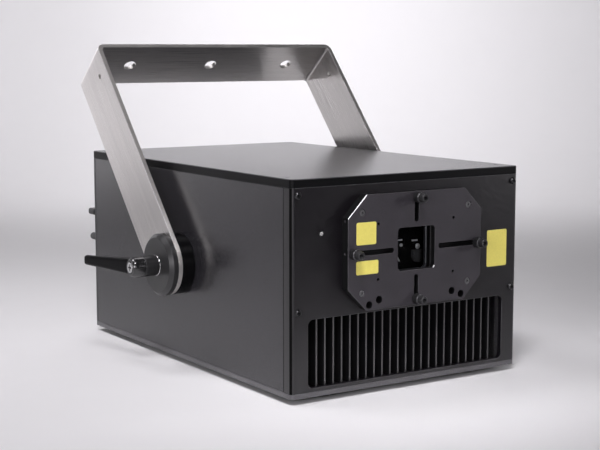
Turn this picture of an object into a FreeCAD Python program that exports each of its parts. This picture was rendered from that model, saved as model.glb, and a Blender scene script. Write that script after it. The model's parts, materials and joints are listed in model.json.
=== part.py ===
import FreeCAD, Part
import math
import os

# Laser show projector with a tilting yoke, in millimetres.
# +Z is up, the front panel faces -Y, and Z = 0 is the surface under the rubber feet.

# Case
body_w = 334.0
body_d = 515.0
body_h = 250.0
body_corner_r = 5.0
lid_t = 10.0
lid_edge = 0.8
base_t = 6.0
side_t = 4.0
front_rim = 16.0
front_web = 6.0
rear_rim = 9.0
rear_web = 4.0
rim_wall = 15.0
rim_top = 10.0
rim_bottom = 2.0
post_w = 16.0
rear_post_h = 26.0

# Feet
foot_h = 7.0
foot_r = 14.0
foot_taper = 1.5
foot_x = 108.0
foot_inset_y = 30.0
foot_recess_r = 6.0
foot_recess = 2.5
foot_screw_cover = 1.0

# Fasteners
panel_screw_r = 2.5
panel_screw_head_r = 4.4
panel_screw_head_h = 2.8
panel_screw_key = 3.0
panel_screw_grip = 7.0
panel_screw_edge = 8.4
panel_screw_top = 18.2
panel_screw_mid_z = 99.4
rear_screw_low_z = 22.0
csk_screw_r = 2.0
csk_head_r = 4.0
csk_head_h = 2.3
csk_key = 2.5
csk_grip = 6.0
csk_in = 4.5
key_share = 0.6

# Clearances, the smallest corner radius, how far fused pieces reach into each other, and
# how close two places or directions are taken as the same
screw_gap = 0.2
run_gap = 0.05
slide_gap = 0.4
face_gap = 0.15
seat_gap = 0.2
small_r = 1.0
join = 1.0
same = 0.001

# Lower front opening and the heatsink behind it
grille_edge = 22.6
grille_z0 = 10.6
grille_drop = 160.2
grille_r = 7.0
fin_margin = 14.0
fin_pitch = 11.7
fin_t = 2.2
fin_lift = 2.6
fin_setback = 0.5
sink_base_t = 7.0
sink_drop = 159.0
sink_leg_t = 6.0
sink_leg_out = 3.0
sink_front_gap = 2.0
sink_rear_gap = 45.0

# Optical deck and what stands on it
deck_t = 10.0
deck_side_gap = 1.0
deck_front_gap = 2.0
deck_rear_gap = 70.0
beam_up = 32.0
beam_x = -18.0
laser_edge_gap = 4.0
laser_beam_gap = 28.0
laser_w = 66.0
laser_h = 52.0
laser_flange = 5.0
laser_flange_t = 6.0
laser_first_y = 155.0
laser_pitch = 80.0
snout_r = 5.0
snout_bore_r = 2.5
snout_l = 6.0
mount_foot = 20.0
mount_foot_h = 8.0
mirror_w = 16.0
mirror_h = 18.0
mirror_t = 2.0
mirror_back_t = 4.0

# Scanner
scan_y = 62.0
fold_half = 10.0
wedge_half = 12.0
scan_shaft_r = 1.5
scan_shaft_l = 16.0
paddle_t = 1.5
paddle_x_half_w = 6.0
paddle_x_half_l = 7.0
paddle_y_half_w = 8.0
paddle_y_half_h = 10.0
motor_r = 8.0
motor_l = 36.0
motor_bore_l = 14.0
motor_start = 12.0
block_wall_y = 18.0
block_wall_t = 16.0
block_x0 = -44.0
block_x1 = 26.0
block_arm_z = 20.0
block_arm_t = 18.0
block_arm_x0 = -12.0
block_arm_front = 14.0
pillar_r = 3.0
pillar_x = 18.0
pillar_y = 8.0

# Boards and power supply
board_t = 1.6
board_lift = 10.0
standoff_r = 3.0
standoff_in = 6.0
board_edge_gap = 4.0
board_block_gap = 18.0
driver_y0 = 60.0
driver_l = 110.0
control_y0 = 36.0
control_l = 76.0
chip_w = 22.0
chip_h = 8.0
supply_edge_gap = 4.0
supply_w = 76.0
supply_y0 = 190.0
supply_l = 210.0
supply_h = 82.0
supply_r = 2.0

# Fans
fan_w = 80.0
fan_t = 25.0
fan_corner_r = 5.0
fan_wall = 1.8
fan_x = 70.0
fan_lift = 10.0
fan_screw_in = 4.25
fan_hub_r = 17.0
fan_hub_l = 17.0
fan_blade_gap = 1.8
fan_blade_t = 1.8
fan_blade_w = 17.0
fan_blade_deg = 38.0
fan_blades = 7
fan_base_t = 4.0
fan_strut_w = 5.0
fan_shaft_r = 3.0
fan_shaft_l = 15.0
guard_t = 1.6
guard_wire = 2.0
guard_rings = 4
guard_ring_first = 13.0
guard_lug_r = 5.0
fan_screw_grip = 10.0

# Front window
window_lap = 3.0
window_t = 3.0
window_frame_lap = 11.0
window_frame_t = 8.0
panel_hole_w = 60.0
panel_hole_h = 56.0
hole_r = 5.0

# Mask plate, blades and knobs
mask_drop = 88.0
mask_w = 196.4
mask_h = 134.0
mask_corner = 26.0
mask_t = 12.0
aperture_w = 54.6
aperture_h = 50.6
aperture_r = 5.0
blade_t = 1.0
blade_first = 0.35
blade_last = 0.05
blade_open = 0.7
blade_end = 4.0
blade_across_half = 28.5
blade_down_half = 29.5
stud_r = 2.0
stud_in_knob = 8.0
slot_gap = 1.1
slot_end_flat = 0.01
knob_side_in = 7.2
slot_across_in = 36.1
knob_end_in = 7.0
slot_down_in = 34.3
knob_r = 6.5
knob_l = 9.0
knob_head_r = 5.0
knob_head_l = 7.0
knob_key = 5.0
knob_key_depth = 4.0
knob_gap = 0.3
mask_screw_side_in = 19.9
mask_screw_end_in = 20.6
mask_screw_r = 2.0
mask_screw_head_r = 3.8
mask_screw_head_h = 4.0
mask_screw_sink = 4.4
mask_screw_key = 3.0
tapped_x = 55.5
tapped_z = 32.3
tapped_r = 1.7
tapped_depth = 8.0
big_holes_in = ((44.2, 11.0), (30.2, 6.0))
big_hole_r = 4.5
edge_hole_r = 1.5
edge_hole_depth = 2.0
edge_hole_up = 37.5

# Emission light
led_out = 28.8
led_drop = 63.0
led_r = 2.8
led_l = 12.0
led_rim_r = 3.6
led_rim_t = 1.2

# Rear panel fittings
key_in = 16.0
key_z = 161.5
key_flange_r = 10.5
key_flange_t = 3.0
key_nose_r = 8.0
key_nose_l = 5.0
key_body_r = 7.5
key_body_l = 30.0
key_stem_r = 3.5
key_stem_l = 12.0
key_bow_w = 24.0
key_bow_t = 9.0
key_bow_l = 18.5
key_bow_r = 3.0
panel_in = 3.0
panel_w = 98.0
panel_z0 = 108.0
panel_z1 = 146.0
panel_t = 3.0
panel_r = 3.0
bush_r = 5.5
bush_bore_r = 3.0
bush_l = 14.0
bush_out = 2.0
menu_in = 10.0
menu_z = 125.5
menu_r = 5.0
menu_l = 19.0
menu_shaft_l = 12.0
display_in = 40.0
display_z = 127.0
display_w = 60.0
display_h = 24.0
display_t = 1.5
inlet_in = 39.0
inlet_z = 150.0
inlet_w = 32.0
inlet_h = 64.0
inlet_flange_t = 3.0
inlet_r = 3.0
inlet_body_w = 28.0
inlet_body_h = 58.0
inlet_body_l = 26.0
socket_w = 24.6
socket_h = 16.4
socket_depth = 15.0
socket_drop = 13.0
socket_r = 2.0
pin_w = 2.0
pin_h = 4.0
pin_l = 12.0
pin_pitch = 14.0
earth_up = 4.0
rocker_up = 15.0
rocker_w = 20.0
rocker_h = 13.0
rocker_t = 6.0
rocker_rise = 4.0
rocker_gap = 0.5
rocker_well = 9.0
rocker_pin_r = 1.5
rocker_pin_l = 2.0
dsub_z = 127.0
dsub_gap = 6.0
dsub_pitch = 60.0
dsub_flange_w = 53.0
dsub_flange_h = 12.5
dsub_flange_t = 1.5
dsub_flange_r = 1.5
dsub_shell_w = 38.0
dsub_shell_h = 8.4
dsub_shell_l = 6.0
dsub_shell_r = 2.0
dsub_body_w = 46.0
dsub_body_h = 9.6
dsub_body_l = 12.0
round_z = 172.0
dmx_in_x = 4.0
dmx_out_x = 44.0
interlock_x = -36.0
round_w = 26.0
round_h = 31.0
round_r = 3.0
round_flange_t = 2.0
round_body_r = 11.8
round_body_l = 20.0
round_face_r = 9.4
round_well = 11.0
round_pin_r = 1.2
round_pin_at = 5.0

# Yoke, pivots and clamp levers
yoke_w = 77.0
yoke_t = 6.0
yoke_inner_r = 325.5
yoke_bend_r = 10.0
yoke_lean = 40.9
pivot_z = 123.5
hang_hole_r = 8.5
hang_hole_x = 128.5
safety_hole_r = 3.5
safety_hole_up = 293.0
safety_hole_off = -16.0
boss_r = 38.5
boss_l = 17.35
stud_pivot_r = 6.0
stud_flange_r = 30.0
stud_flange_t = 6.0
stud_into_insert = 11.0
disc_r = 39.5
disc_t = 11.5
disc_edge = 4.7
washer_r = 13.2
washer_t = 1.5
insert_r = 13.0
insert_l = 17.8
insert_neck_r = 9.0
insert_neck_l = 5.0
insert_bore_l = 12.0
insert_edge = 0.8
hub_r = 13.0
hub_end_r = 10.5
hub_l = 16.2
hub_step = 4.0
hub_bore_l = 5.3
hub_web = 2.7
hub_well_r = 7.4
lever_len = 104.0
lever_rise = 20.0
lever_droop = 2.2
lever_root = 6.0
lever_root_h = 20.0
lever_root_t = 11.0
lever_tip_h = 12.5
lever_tip_t = 8.0
lever_edge = 2.5
lever_screw_r = 2.5
lever_screw_head_r = 6.8
lever_screw_head_h = 4.0
lever_screw_up = 13.5
lever_screw_grip = 7.0
cross_w = 2.0
cross_l = 8.0
cross_depth = 2.0

# Levels and planes worked out from the sizes above
knob_reach = mask_t + knob_gap + knob_l + knob_head_l
key_reach = key_flange_t + key_nose_l + seat_gap + key_bow_l
mid_y = (knob_reach - key_reach) / 2
y_front = mid_y - body_d / 2
y_rear = mid_y + body_d / 2
z_base = foot_h
z_floor = z_base + base_t
z_top = z_base + body_h
z_lid = z_top - lid_t
half_w = body_w / 2
side_in = half_w - side_t
pocket_half = half_w - rim_wall
side_y0 = y_front + front_rim
side_y1 = y_rear - rear_rim
sink_z = z_top - sink_drop
sink_top = sink_z + sink_base_t
deck_top = sink_top + deck_t
beam_z = z_top - mask_drop
low_beam_z = deck_top + beam_up
scan_at = y_front + scan_y
mask_front = y_front - mask_t
mask_half_w = mask_w / 2
mask_half_h = mask_h / 2
pocket_y = y_front - blade_first - 4 * (blade_t + slide_gap) - blade_last
slot_half = stud_r + slot_gap
slot_across_out = mask_half_w - knob_side_in
slot_down_out = mask_half_h - knob_end_in
mask_screw_x = mask_half_w - mask_screw_side_in
mask_screw_z = mask_half_h - mask_screw_end_in
led_x = -mask_half_w - led_out
led_z = z_top - led_drop
grille_half_w = half_w - grille_edge
grille_top = z_top - grille_drop
fin_count = 2 * int((grille_half_w - fin_margin) / fin_pitch) + 1
deck_half = side_in - post_w - deck_side_gap
laser_x0 = laser_edge_gap - deck_half
laser_x1 = beam_x - laser_beam_gap
window_w = panel_hole_w + 2 * window_lap
window_h = panel_hole_h + 2 * window_lap
fan_bore_r = fan_w / 2 - fan_wall
fan_blade_r = fan_bore_r - fan_blade_gap
fan_hole = fan_w / 2 - fan_screw_in
fan_z = z_base + fan_lift + fan_w / 2
guard_ring_step = (fan_w / 2 - guard_ring_first) / (guard_rings - 1)
key_x = key_in - half_w
menu_x = menu_in - half_w
panel_x0 = panel_in - half_w
panel_x1 = panel_x0 + panel_w
display_x = panel_x1 - display_in
inlet_x = half_w - inlet_in
dsub_first = panel_x1 + dsub_gap + dsub_flange_w / 2
dsub_x = (dsub_first, dsub_first + dsub_pitch)
pivot = FreeCAD.Vector(0, mid_y, z_base + pivot_z)
yoke_inner = half_w + boss_l + face_gap
yoke_outer = yoke_inner + yoke_t
disc_out = yoke_outer + disc_t
washer_in = disc_out + face_gap
insert_in = washer_in + washer_t + face_gap
insert_out = insert_in + insert_l
hub_in = insert_out + slide_gap
stud_end = insert_in + stud_into_insert

V = FreeCAD.Vector
X = V(1, 0, 0)
Y = V(0, 1, 0)
Z = V(0, 0, 1)


def block(x0, x1, y0, y1, z0, z1):
    """A box between two corners."""
    return Part.makeBox(x1 - x0, y1 - y0, z1 - z0, V(x0, y0, z0))


def edges_along(shape, axis):
    """The straight edges of a shape that run along an axis."""
    found = []
    for edge in shape.Edges:
        if edge.tangentAt(edge.FirstParameter).cross(axis).Length < same:
            found.append(edge)
    return found


def rounded(shape, axis, radius):
    """A box with the four edges along one axis rounded."""
    return shape.makeFillet(radius, edges_along(shape, axis))


def slab(x, z, w, h, y0, y1, radius):
    """A plate that faces along Y, centred on (x, z), with round corners."""
    plate = block(x - w / 2, x + w / 2, y0, y1, z - h / 2, z + h / 2)
    return rounded(plate, Y, radius)


def rod(radius, length, x, y, z, axis):
    """A cylinder that starts at a point and runs along an axis."""
    return Part.makeCylinder(radius, length, V(x, y, z), axis)


def prism(points, reach):
    """A straight prism: a closed outline of points swept along a vector."""
    outline = Part.makePolygon(points + points[:1])
    return Part.Face(outline).extrude(reach)


def hexagon(across, z0, depth):
    """A hexagonal prism on the Z axis, for the socket in a screw head."""
    corner = across / math.sqrt(3)
    points = []
    for i in range(6):
        turn = math.radians(60 * i)
        points.append(V(corner * math.cos(turn), corner * math.sin(turn), z0))
    return prism(points, V(0, 0, depth))


def put(shape, at, inward):
    """Moves a shape made along +Z so that +Z points inward from a place."""
    shape.Placement = FreeCAD.Placement(at, FreeCAD.Rotation(Z, inward))
    return shape


def cap_screw(at, inward, head_r, head_h, shank_r, shank_l, key):
    """A screw whose flat head stands on a face and whose shank goes inward."""
    head = rod(head_r, head_h, 0, 0, -head_h, Z)
    shank = rod(shank_r, shank_l, 0, 0, 0, Z)
    socket = hexagon(key, -head_h, head_h * key_share)
    return put(head.fuse(shank).cut(socket), at, inward)


def panel_screw(at, inward, length):
    """One of the button-head screws that hold the panels and fans."""
    return cap_screw(at, inward, panel_screw_head_r, panel_screw_head_h, panel_screw_r, length,
                     panel_screw_key)


def csk_screw(at, inward, length):
    """A countersunk screw, flush with the face at its place."""
    head = Part.makeCone(csk_head_r, csk_screw_r, csk_head_h)
    shank = rod(csk_screw_r, length - csk_head_h, 0, 0, csk_head_h, Z)
    socket = hexagon(csk_key, 0, csk_head_h * key_share)
    return put(head.fuse(shank).cut(socket), at, inward)


def csk_hole(at, inward, length):
    """The room that a countersunk screw takes up, with clearance."""
    wide = csk_head_r + screw_gap
    narrow = csk_screw_r + screw_gap
    head = Part.makeCone(wide, narrow, csk_head_h)
    shank = rod(narrow, length - csk_head_h + screw_gap, 0, 0, csk_head_h, Z)
    return put(head.fuse(shank), at, inward)


def cut_all(shape, tools):
    """A shape with a list of tools cut out of it."""
    return shape.cut(Part.makeCompound(tools)) if tools else shape


def fuse_all(shapes):
    """One solid from a list of shapes that touch or overlap."""
    return shapes[0].multiFuse(shapes[1:]).removeSplitter()


def save(name, shape):
    """Writes one node, a single solid or a group of separate solids."""
    shape.exportStep("parts/" + name + ".step")


def save_group(name, shapes):
    """Writes a node of separate, like solids."""
    save(name, Part.makeCompound(shapes))


def mirrored(shape):
    """The same piece on the other side of the projector."""
    return shape.mirror(V(0, 0, 0), X)


os.makedirs("parts", exist_ok=True)

# Places of the fasteners
screw_x = half_w - panel_screw_edge
screw_top_z = z_top - panel_screw_top
front_screw_at = []
rear_screw_at = []
post_screw_at = []
for side in (-1, 1):
    for z in (screw_top_z, z_base + panel_screw_mid_z):
        front_screw_at.append((side * screw_x, z))
    for z in (screw_top_z, z_base + rear_screw_low_z):
        rear_screw_at.append((side * screw_x, z))
    for y in (side_y0 + post_w - csk_in, side_y1 - post_w + csk_in):
        post_screw_at.append((side * (side_in - post_w / 2), y))
lid_screw_l = lid_t + csk_grip
base_screw_l = base_t + csk_grip
foot_screw_l = foot_h - foot_recess + base_t - foot_screw_cover
foot_at = []
for x in (-foot_x, foot_x):
    for y in (y_front + foot_inset_y, y_rear - foot_inset_y):
        foot_at.append((x, y))

# Base plate, screwed up into the corner posts and carrying the feet
base = block(-half_w, half_w, y_front, y_rear, z_base, z_floor)
base = rounded(base, Z, body_corner_r)
holes = []
for x, y in post_screw_at:
    holes.append(csk_hole(V(x, y, z_base), Z, base_screw_l))
for x, y in foot_at:
    holes.append(rod(csk_screw_r + screw_gap, base_t - foot_screw_cover + screw_gap, x, y, z_base, Z))
save("base_plate", cut_all(base, holes))

# Rubber feet, each held by a countersunk screw in a recess
feet = []
for x, y in foot_at:
    foot = Part.makeCone(foot_r - foot_taper, foot_r, foot_h, V(x, y, 0), Z)
    recess = rod(foot_recess_r, foot_recess, x, y, 0, Z)
    screw_room = csk_hole(V(x, y, foot_recess), Z, foot_screw_l)
    feet.append(foot.cut(recess).cut(screw_room))
save_group("rubber_feet", feet)

# Corner posts: full height at the front, short blocks at the top and bottom of the rear
posts = []
for side in (-1, 1):
    x0, x1 = sorted((side * side_in, side * (side_in - post_w)))
    posts.append(block(x0, x1, side_y0, side_y0 + post_w, z_floor, z_lid))
    posts.append(block(x0, x1, side_y1 - post_w, side_y1, z_floor, z_floor + rear_post_h))
    posts.append(block(x0, x1, side_y1 - post_w, side_y1, z_lid - rear_post_h, z_lid))
holes = []
for x, y in post_screw_at:
    holes.append(csk_hole(V(x, y, z_base), Z, base_screw_l))
    holes.append(csk_hole(V(x, y, z_top), -Z, lid_screw_l))
for x, z in front_screw_at:
    holes.append(rod(panel_screw_r + screw_gap, panel_screw_grip + screw_gap, x, side_y0, z, Y))
for x, z in rear_screw_at:
    holes.append(rod(panel_screw_r + screw_gap, panel_screw_grip + screw_gap, x, side_y1, z, -Y))
drilled = []
for post in posts:
    drilled.append(cut_all(post, holes))
save_group("corner_posts", drilled)

# Lid, a thick flat plate with broken top edges
lid = rounded(block(-half_w, half_w, y_front, y_rear, z_lid, z_top), Z, body_corner_r)
rim_edges = []
for edge in lid.Edges:
    if abs(edge.CenterOfMass.z - z_top) < same:
        rim_edges.append(edge)
lid = lid.makeChamfer(lid_edge, rim_edges)
holes = []
for x, y in post_screw_at:
    holes.append(csk_hole(V(x, y, z_top), -Z, lid_screw_l))
save("top_lid", cut_all(lid, holes))

# Countersunk screws of the lid, the base plate and the feet
screws = []
for x, y in post_screw_at:
    screws.append(csk_screw(V(x, y, z_top), -Z, lid_screw_l))
    screws.append(csk_screw(V(x, y, z_base), Z, base_screw_l))
for x, y in foot_at:
    screws.append(csk_screw(V(x, y, foot_recess), Z, foot_screw_l))
save_group("countersunk_screws", screws)

# Side panels between the front and rear panels, with a hole for the pivot stud
for name, side in (("left_side_panel", -1), ("right_side_panel", 1)):
    x0, x1 = sorted((side * side_in, side * half_w))
    panel = block(x0, x1, side_y0, side_y1, z_floor, z_lid)
    hole = rod(stud_pivot_r + screw_gap, side_t, x0, pivot.y, pivot.z, X)
    save(name, panel.cut(hole))

# Front panel: a machined plate with a rim behind it
front = block(-half_w, half_w, y_front, side_y0, z_floor, z_lid)
corners = [e for e in edges_along(front, Z) if abs(e.CenterOfMass.y - y_front) < same]
front = front.makeFillet(body_corner_r, corners)
pocket = block(-pocket_half, pocket_half, y_front + front_web, side_y0,
               z_floor + rim_bottom, z_lid - rim_top)
grille_h = grille_top - z_base - grille_z0
grille_mid = grille_top - grille_h / 2
holes = [pocket]
holes.append(slab(0, grille_mid, 2 * grille_half_w, grille_h, y_front, y_front + front_web, grille_r))
holes.append(slab(0, beam_z, panel_hole_w, panel_hole_h, y_front, y_front + front_web, hole_r))
holes.append(rod(led_r + screw_gap, led_l + screw_gap, led_x, y_front, led_z, Y))
for x, z in front_screw_at:
    holes.append(rod(panel_screw_r + screw_gap, front_rim, x, y_front, z, Y))
mask_screw_at = []
for side in (-1, 1):
    for up in (-1, 1):
        mask_screw_at.append((side * mask_screw_x, beam_z + up * mask_screw_z))
for x, z in mask_screw_at:
    holes.append(rod(mask_screw_r + screw_gap, front_web, x, y_front, z, Y))
save("front_panel", cut_all(front, holes))

# Emission light, a lens with a small rim pushed into the front panel
led = rod(led_r, led_l, led_x, y_front, led_z, Y)
led_rim = rod(led_rim_r, led_rim_t, led_x, y_front - led_rim_t, led_z, Y)
save("emission_led", led.fuse(led_rim).removeSplitter())

# Window behind the front panel, pressed on by a frame
glass_y = y_front + front_web
glass = slab(0, beam_z, window_w, window_h, glass_y, glass_y + window_t, hole_r)
save("window_glass", glass)
frame = slab(0, beam_z, window_w + 2 * window_frame_lap, window_h + 2 * window_frame_lap, glass_y,
             glass_y + window_frame_t, hole_r)
seat = slab(0, beam_z, window_w + 2 * seat_gap, window_h + 2 * seat_gap, glass_y,
            glass_y + window_t, hole_r + seat_gap)
through = slab(0, beam_z, panel_hole_w, panel_hole_h, glass_y, glass_y + window_frame_t, hole_r)
save("window_frame", frame.cut(seat).cut(through))

# Mask plate: an octagon with four slots, hollow behind so that the blades can slide
outline = []
for sx, sz in ((1, -1), (1, 1), (-1, 1), (-1, -1)):
    on_side = V(sx * mask_half_w, mask_front, beam_z + sz * (mask_half_h - mask_corner))
    on_edge = V(sx * (mask_half_w - mask_corner), mask_front, beam_z + sz * mask_half_h)
    outline += [on_edge, on_side] if sx * sz < 0 else [on_side, on_edge]
mask = prism(outline, V(0, mask_t, 0))
across_end = slot_across_out + blade_end + slide_gap
down_end = slot_down_out + blade_end + slide_gap
across_half = blade_across_half + slide_gap
down_half = blade_down_half + slide_gap
holes = [block(-across_end, across_end, pocket_y, y_front, beam_z - across_half, beam_z + across_half)]
holes.append(block(-down_half, down_half, pocket_y, y_front, beam_z - down_end, beam_z + down_end))
holes.append(slab(0, beam_z, aperture_w, aperture_h, mask_front, y_front, aperture_r))
across_l = slot_across_out - slot_across_in + 2 * slot_half
down_l = slot_down_out - slot_down_in + 2 * slot_half
slot_end_r = slot_half - slot_end_flat
for side in (-1, 1):
    x = side * (slot_across_out + slot_across_in) / 2
    holes.append(slab(x, beam_z, across_l, 2 * slot_half, mask_front, pocket_y, slot_end_r))
    z = beam_z + side * (slot_down_out + slot_down_in) / 2
    holes.append(slab(0, z, 2 * slot_half, down_l, mask_front, pocket_y, slot_end_r))
    for up in (-1, 1):
        holes.append(rod(tapped_r, tapped_depth, side * tapped_x, mask_front, beam_z + up * tapped_z, Y))
    for from_side, from_end in big_holes_in:
        x = side * (mask_half_w - from_side)
        z = beam_z - mask_half_h + from_end
        holes.append(rod(big_hole_r, mask_t, x, mask_front, z, Y))
    for up in (0, edge_hole_up):
        holes.append(rod(edge_hole_r, edge_hole_depth, side * mask_half_w, mask_front + mask_t / 2,
                         beam_z + up, X * -side))
for x, z in mask_screw_at:
    holes.append(rod(mask_screw_head_r + screw_gap, mask_screw_sink, x, mask_front, z, Y))
    holes.append(rod(mask_screw_r + screw_gap, mask_t, x, mask_front, z, Y))
save("mask_plate", cut_all(mask, holes))

# Screws sunk into the mask plate
screws = []
for x, z in mask_screw_at:
    seat_at = V(x, mask_front + mask_screw_sink, z)
    grip = mask_t - mask_screw_sink + front_web
    screws.append(cap_screw(seat_at, Y, mask_screw_head_r, mask_screw_head_h, mask_screw_r, grip,
                            mask_screw_key))
save_group("mask_plate_screws", screws)

# Mask blades, one behind the other, each with a stud that comes out through its slot.
# Each blade carries a knob that turns on the stud and clamps it to the plate.
blade_inner_x = aperture_w / 2 + blade_open
blade_inner_z = aperture_h / 2 + blade_open
knob_back = mask_front - knob_gap
blades = (("left", -1, True), ("right", 1, True), ("top", 1, False), ("bottom", -1, False))
for layer, (name, side, across) in enumerate(blades):
    y0 = pocket_y + blade_first + layer * (blade_t + slide_gap)
    y1 = y0 + blade_t
    if across:
        x0, x1 = sorted((side * blade_inner_x, side * (slot_across_out + blade_end)))
        blade = block(x0, x1, y0, y1, beam_z - blade_across_half, beam_z + blade_across_half)
        stud_x = side * slot_across_out
        stud_z = beam_z
    else:
        z0, z1 = sorted((side * blade_inner_z, side * (slot_down_out + blade_end)))
        blade = block(-blade_down_half, blade_down_half, y0, y1, beam_z + z0, beam_z + z1)
        stud_x = 0
        stud_z = beam_z + side * slot_down_out
    stud_tip = knob_back - stud_in_knob
    stud = rod(stud_r, y1 - stud_tip, stud_x, stud_tip, stud_z, Y)
    save("mask_blade_" + name, blade.fuse(stud).removeSplitter())
    knob = rod(knob_r, knob_l, stud_x, knob_back, stud_z, -Y)
    knob_head = rod(knob_head_r, knob_head_l, stud_x, knob_back - knob_l, stud_z, -Y)
    knob = knob.fuse(knob_head).removeSplitter()
    knob_bore = rod(stud_r + run_gap, stud_in_knob + slide_gap, stud_x, knob_back, stud_z, -Y)
    socket = put(hexagon(knob_key, 0, knob_key_depth),
                 V(stud_x, knob_back - knob_l - knob_head_l, stud_z), Y)
    save("mask_knob_" + name, knob.cut(knob_bore).cut(socket))

# Heatsink: a plate with hanging fins and two legs that stand on the base plate
sink_y0 = y_front + front_web + fin_setback
sink_main_y0 = side_y0 + post_w + sink_front_gap
sink_y1 = y_rear - sink_rear_gap
leg_in = side_in - post_w + sink_leg_out - sink_leg_t
fin_half = (fin_count - 1) / 2 * fin_pitch + fin_t
pieces = [block(-leg_in - sink_leg_t, leg_in + sink_leg_t, sink_main_y0, sink_y1, sink_z, sink_top)]
pieces.append(block(-fin_half, fin_half, sink_y0, sink_main_y0, sink_z, sink_top))
for side in (-1, 1):
    x0, x1 = sorted((side * leg_in, side * (leg_in + sink_leg_t)))
    pieces.append(block(x0, x1, sink_main_y0, sink_y1, z_floor, sink_z))
for i in range(fin_count):
    x = (i - (fin_count - 1) / 2) * fin_pitch
    pieces.append(block(x - fin_t / 2, x + fin_t / 2, sink_y0, sink_y1, z_floor + fin_lift, sink_z))
save("heatsink", fuse_all(pieces))

# Optical deck on the heatsink, between the posts
deck_y0 = side_y0 + deck_front_gap
deck_y1 = y_rear - deck_rear_gap
save("optical_deck", block(-deck_half, deck_half, deck_y0, deck_y1, sink_top, deck_top))

# Laser modules in a row along the left, each with a foot flange and a beam snout
laser_y = []
for i, colour in enumerate(("red", "green", "blue")):
    y = y_front + laser_first_y + i * laser_pitch
    laser_y.append(y)
    y0 = y - laser_w / 2
    y1 = y + laser_w / 2
    case = rounded(block(laser_x0, laser_x1, y0, y1, deck_top, deck_top + laser_h), Z, laser_flange)
    flange = block(laser_x0, laser_x1 + laser_flange, y0, y1, deck_top, deck_top + laser_flange_t)
    snout = rod(snout_r, snout_l, laser_x1, y, low_beam_z, X)
    bore = rod(snout_bore_r, snout_l + laser_flange, laser_x1 + snout_l, y, low_beam_z, -X)
    save(colour + "_laser_module", fuse_all([case, flange, snout]).cut(bore))

# Combining mirrors at 45 degrees on the beam line, one for each laser, and the fold mirror that
# turns the beam up to the scanner
mounts = []
mirrors = []
for y in laser_y:
    foot = block(-mount_foot / 2, mount_foot / 2, -mount_foot / 2, mount_foot / 2, 0, mount_foot_h)
    low = beam_up - mirror_h / 2
    back = block(0, mirror_back_t, -mirror_w / 2, mirror_w / 2, 0, low + mirror_h)
    plate = block(-mirror_t, 0, -mirror_w / 2, mirror_w / 2, low, low + mirror_h)
    place = FreeCAD.Placement(V(beam_x, y, deck_top), FreeCAD.Rotation(Z, 45))
    mount = foot.fuse(back).removeSplitter()
    mount.Placement = place
    plate.Placement = place
    mounts.append(mount)
    mirrors.append(plate)
fold_x0 = beam_x - mirror_w / 2
slope = mirror_t * math.sqrt(2)
wedge = prism([V(fold_x0, scan_at - wedge_half, deck_top),
               V(fold_x0, scan_at - wedge_half, low_beam_z - slope + wedge_half),
               V(fold_x0, scan_at + wedge_half, low_beam_z - slope - wedge_half),
               V(fold_x0, scan_at + wedge_half, deck_top)], V(mirror_w, 0, 0))
mounts.append(wedge)
lean = mirror_t / math.sqrt(2)
fold = prism([V(fold_x0, scan_at - fold_half, low_beam_z - slope + fold_half),
              V(fold_x0, scan_at + fold_half, low_beam_z - slope - fold_half),
              V(fold_x0, scan_at + fold_half + lean, low_beam_z - slope - fold_half + lean),
              V(fold_x0, scan_at - fold_half + lean, low_beam_z - slope + fold_half + lean)],
             V(mirror_w, 0, 0))
mirrors.append(fold)
save_group("mirror_mounts", mounts)
save_group("beam_mirrors", mirrors)

# Scanner block: a wall behind the mirrors, an arm above them and a pillar under the arm
arm_z = beam_z + block_arm_z
arm_top = arm_z + block_arm_t
wall_y = scan_at + block_wall_y
wall = block(block_x0, block_x1, wall_y, wall_y + block_wall_t, deck_top, arm_top)
arm = block(block_arm_x0, block_x1, scan_at - block_arm_front, wall_y, arm_z, arm_top)
pillar = rod(pillar_r, arm_z - deck_top, pillar_x, scan_at - pillar_y, deck_top, Z)
scanner = fuse_all([wall, arm, pillar])
motor_x_bore = rod(motor_r + screw_gap, block_wall_t, beam_x, wall_y, beam_z, Y)
motor_y_bore = rod(motor_r + screw_gap, block_arm_t, 0, scan_at, arm_z, Z)
save("scanner_block", scanner.cut(motor_x_bore).cut(motor_y_bore))

# Galvo motors, pushed through the block, with a bearing bore for each mirror's shaft
motor_x = rod(motor_r, motor_l, beam_x, scan_at + motor_start, beam_z, Y)
motor_x = motor_x.cut(rod(scan_shaft_r + run_gap, motor_bore_l, beam_x, scan_at + motor_start, beam_z, Y))
motor_y = rod(motor_r, motor_l, 0, scan_at, beam_z + motor_start, Z)
motor_y = motor_y.cut(rod(scan_shaft_r + run_gap, motor_bore_l, 0, scan_at, beam_z + motor_start, Z))
save_group("galvo_motors", [motor_x, motor_y])

# Scan mirrors on their shafts, at 45 degrees at rest
paddle = block(-paddle_t / 2, paddle_t / 2, -paddle_x_half_l, paddle_x_half_l,
               -paddle_x_half_w, paddle_x_half_w)
paddle.Placement = FreeCAD.Placement(V(beam_x, scan_at, beam_z), FreeCAD.Rotation(Y, 45))
shaft = rod(scan_shaft_r, scan_shaft_l, beam_x, scan_at + paddle_x_half_l - join, beam_z, Y)
save("scan_mirror_x", paddle.fuse(shaft).removeSplitter())
paddle = block(-paddle_t / 2, paddle_t / 2, -paddle_y_half_w, paddle_y_half_w,
               -paddle_y_half_h, paddle_y_half_h)
paddle.Placement = FreeCAD.Placement(V(0, scan_at, beam_z), FreeCAD.Rotation(Z, 45))
shaft = rod(scan_shaft_r, scan_shaft_l, 0, scan_at, beam_z + paddle_y_half_h - join, Z)
save("scan_mirror_y", paddle.fuse(shaft).removeSplitter())

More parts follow.
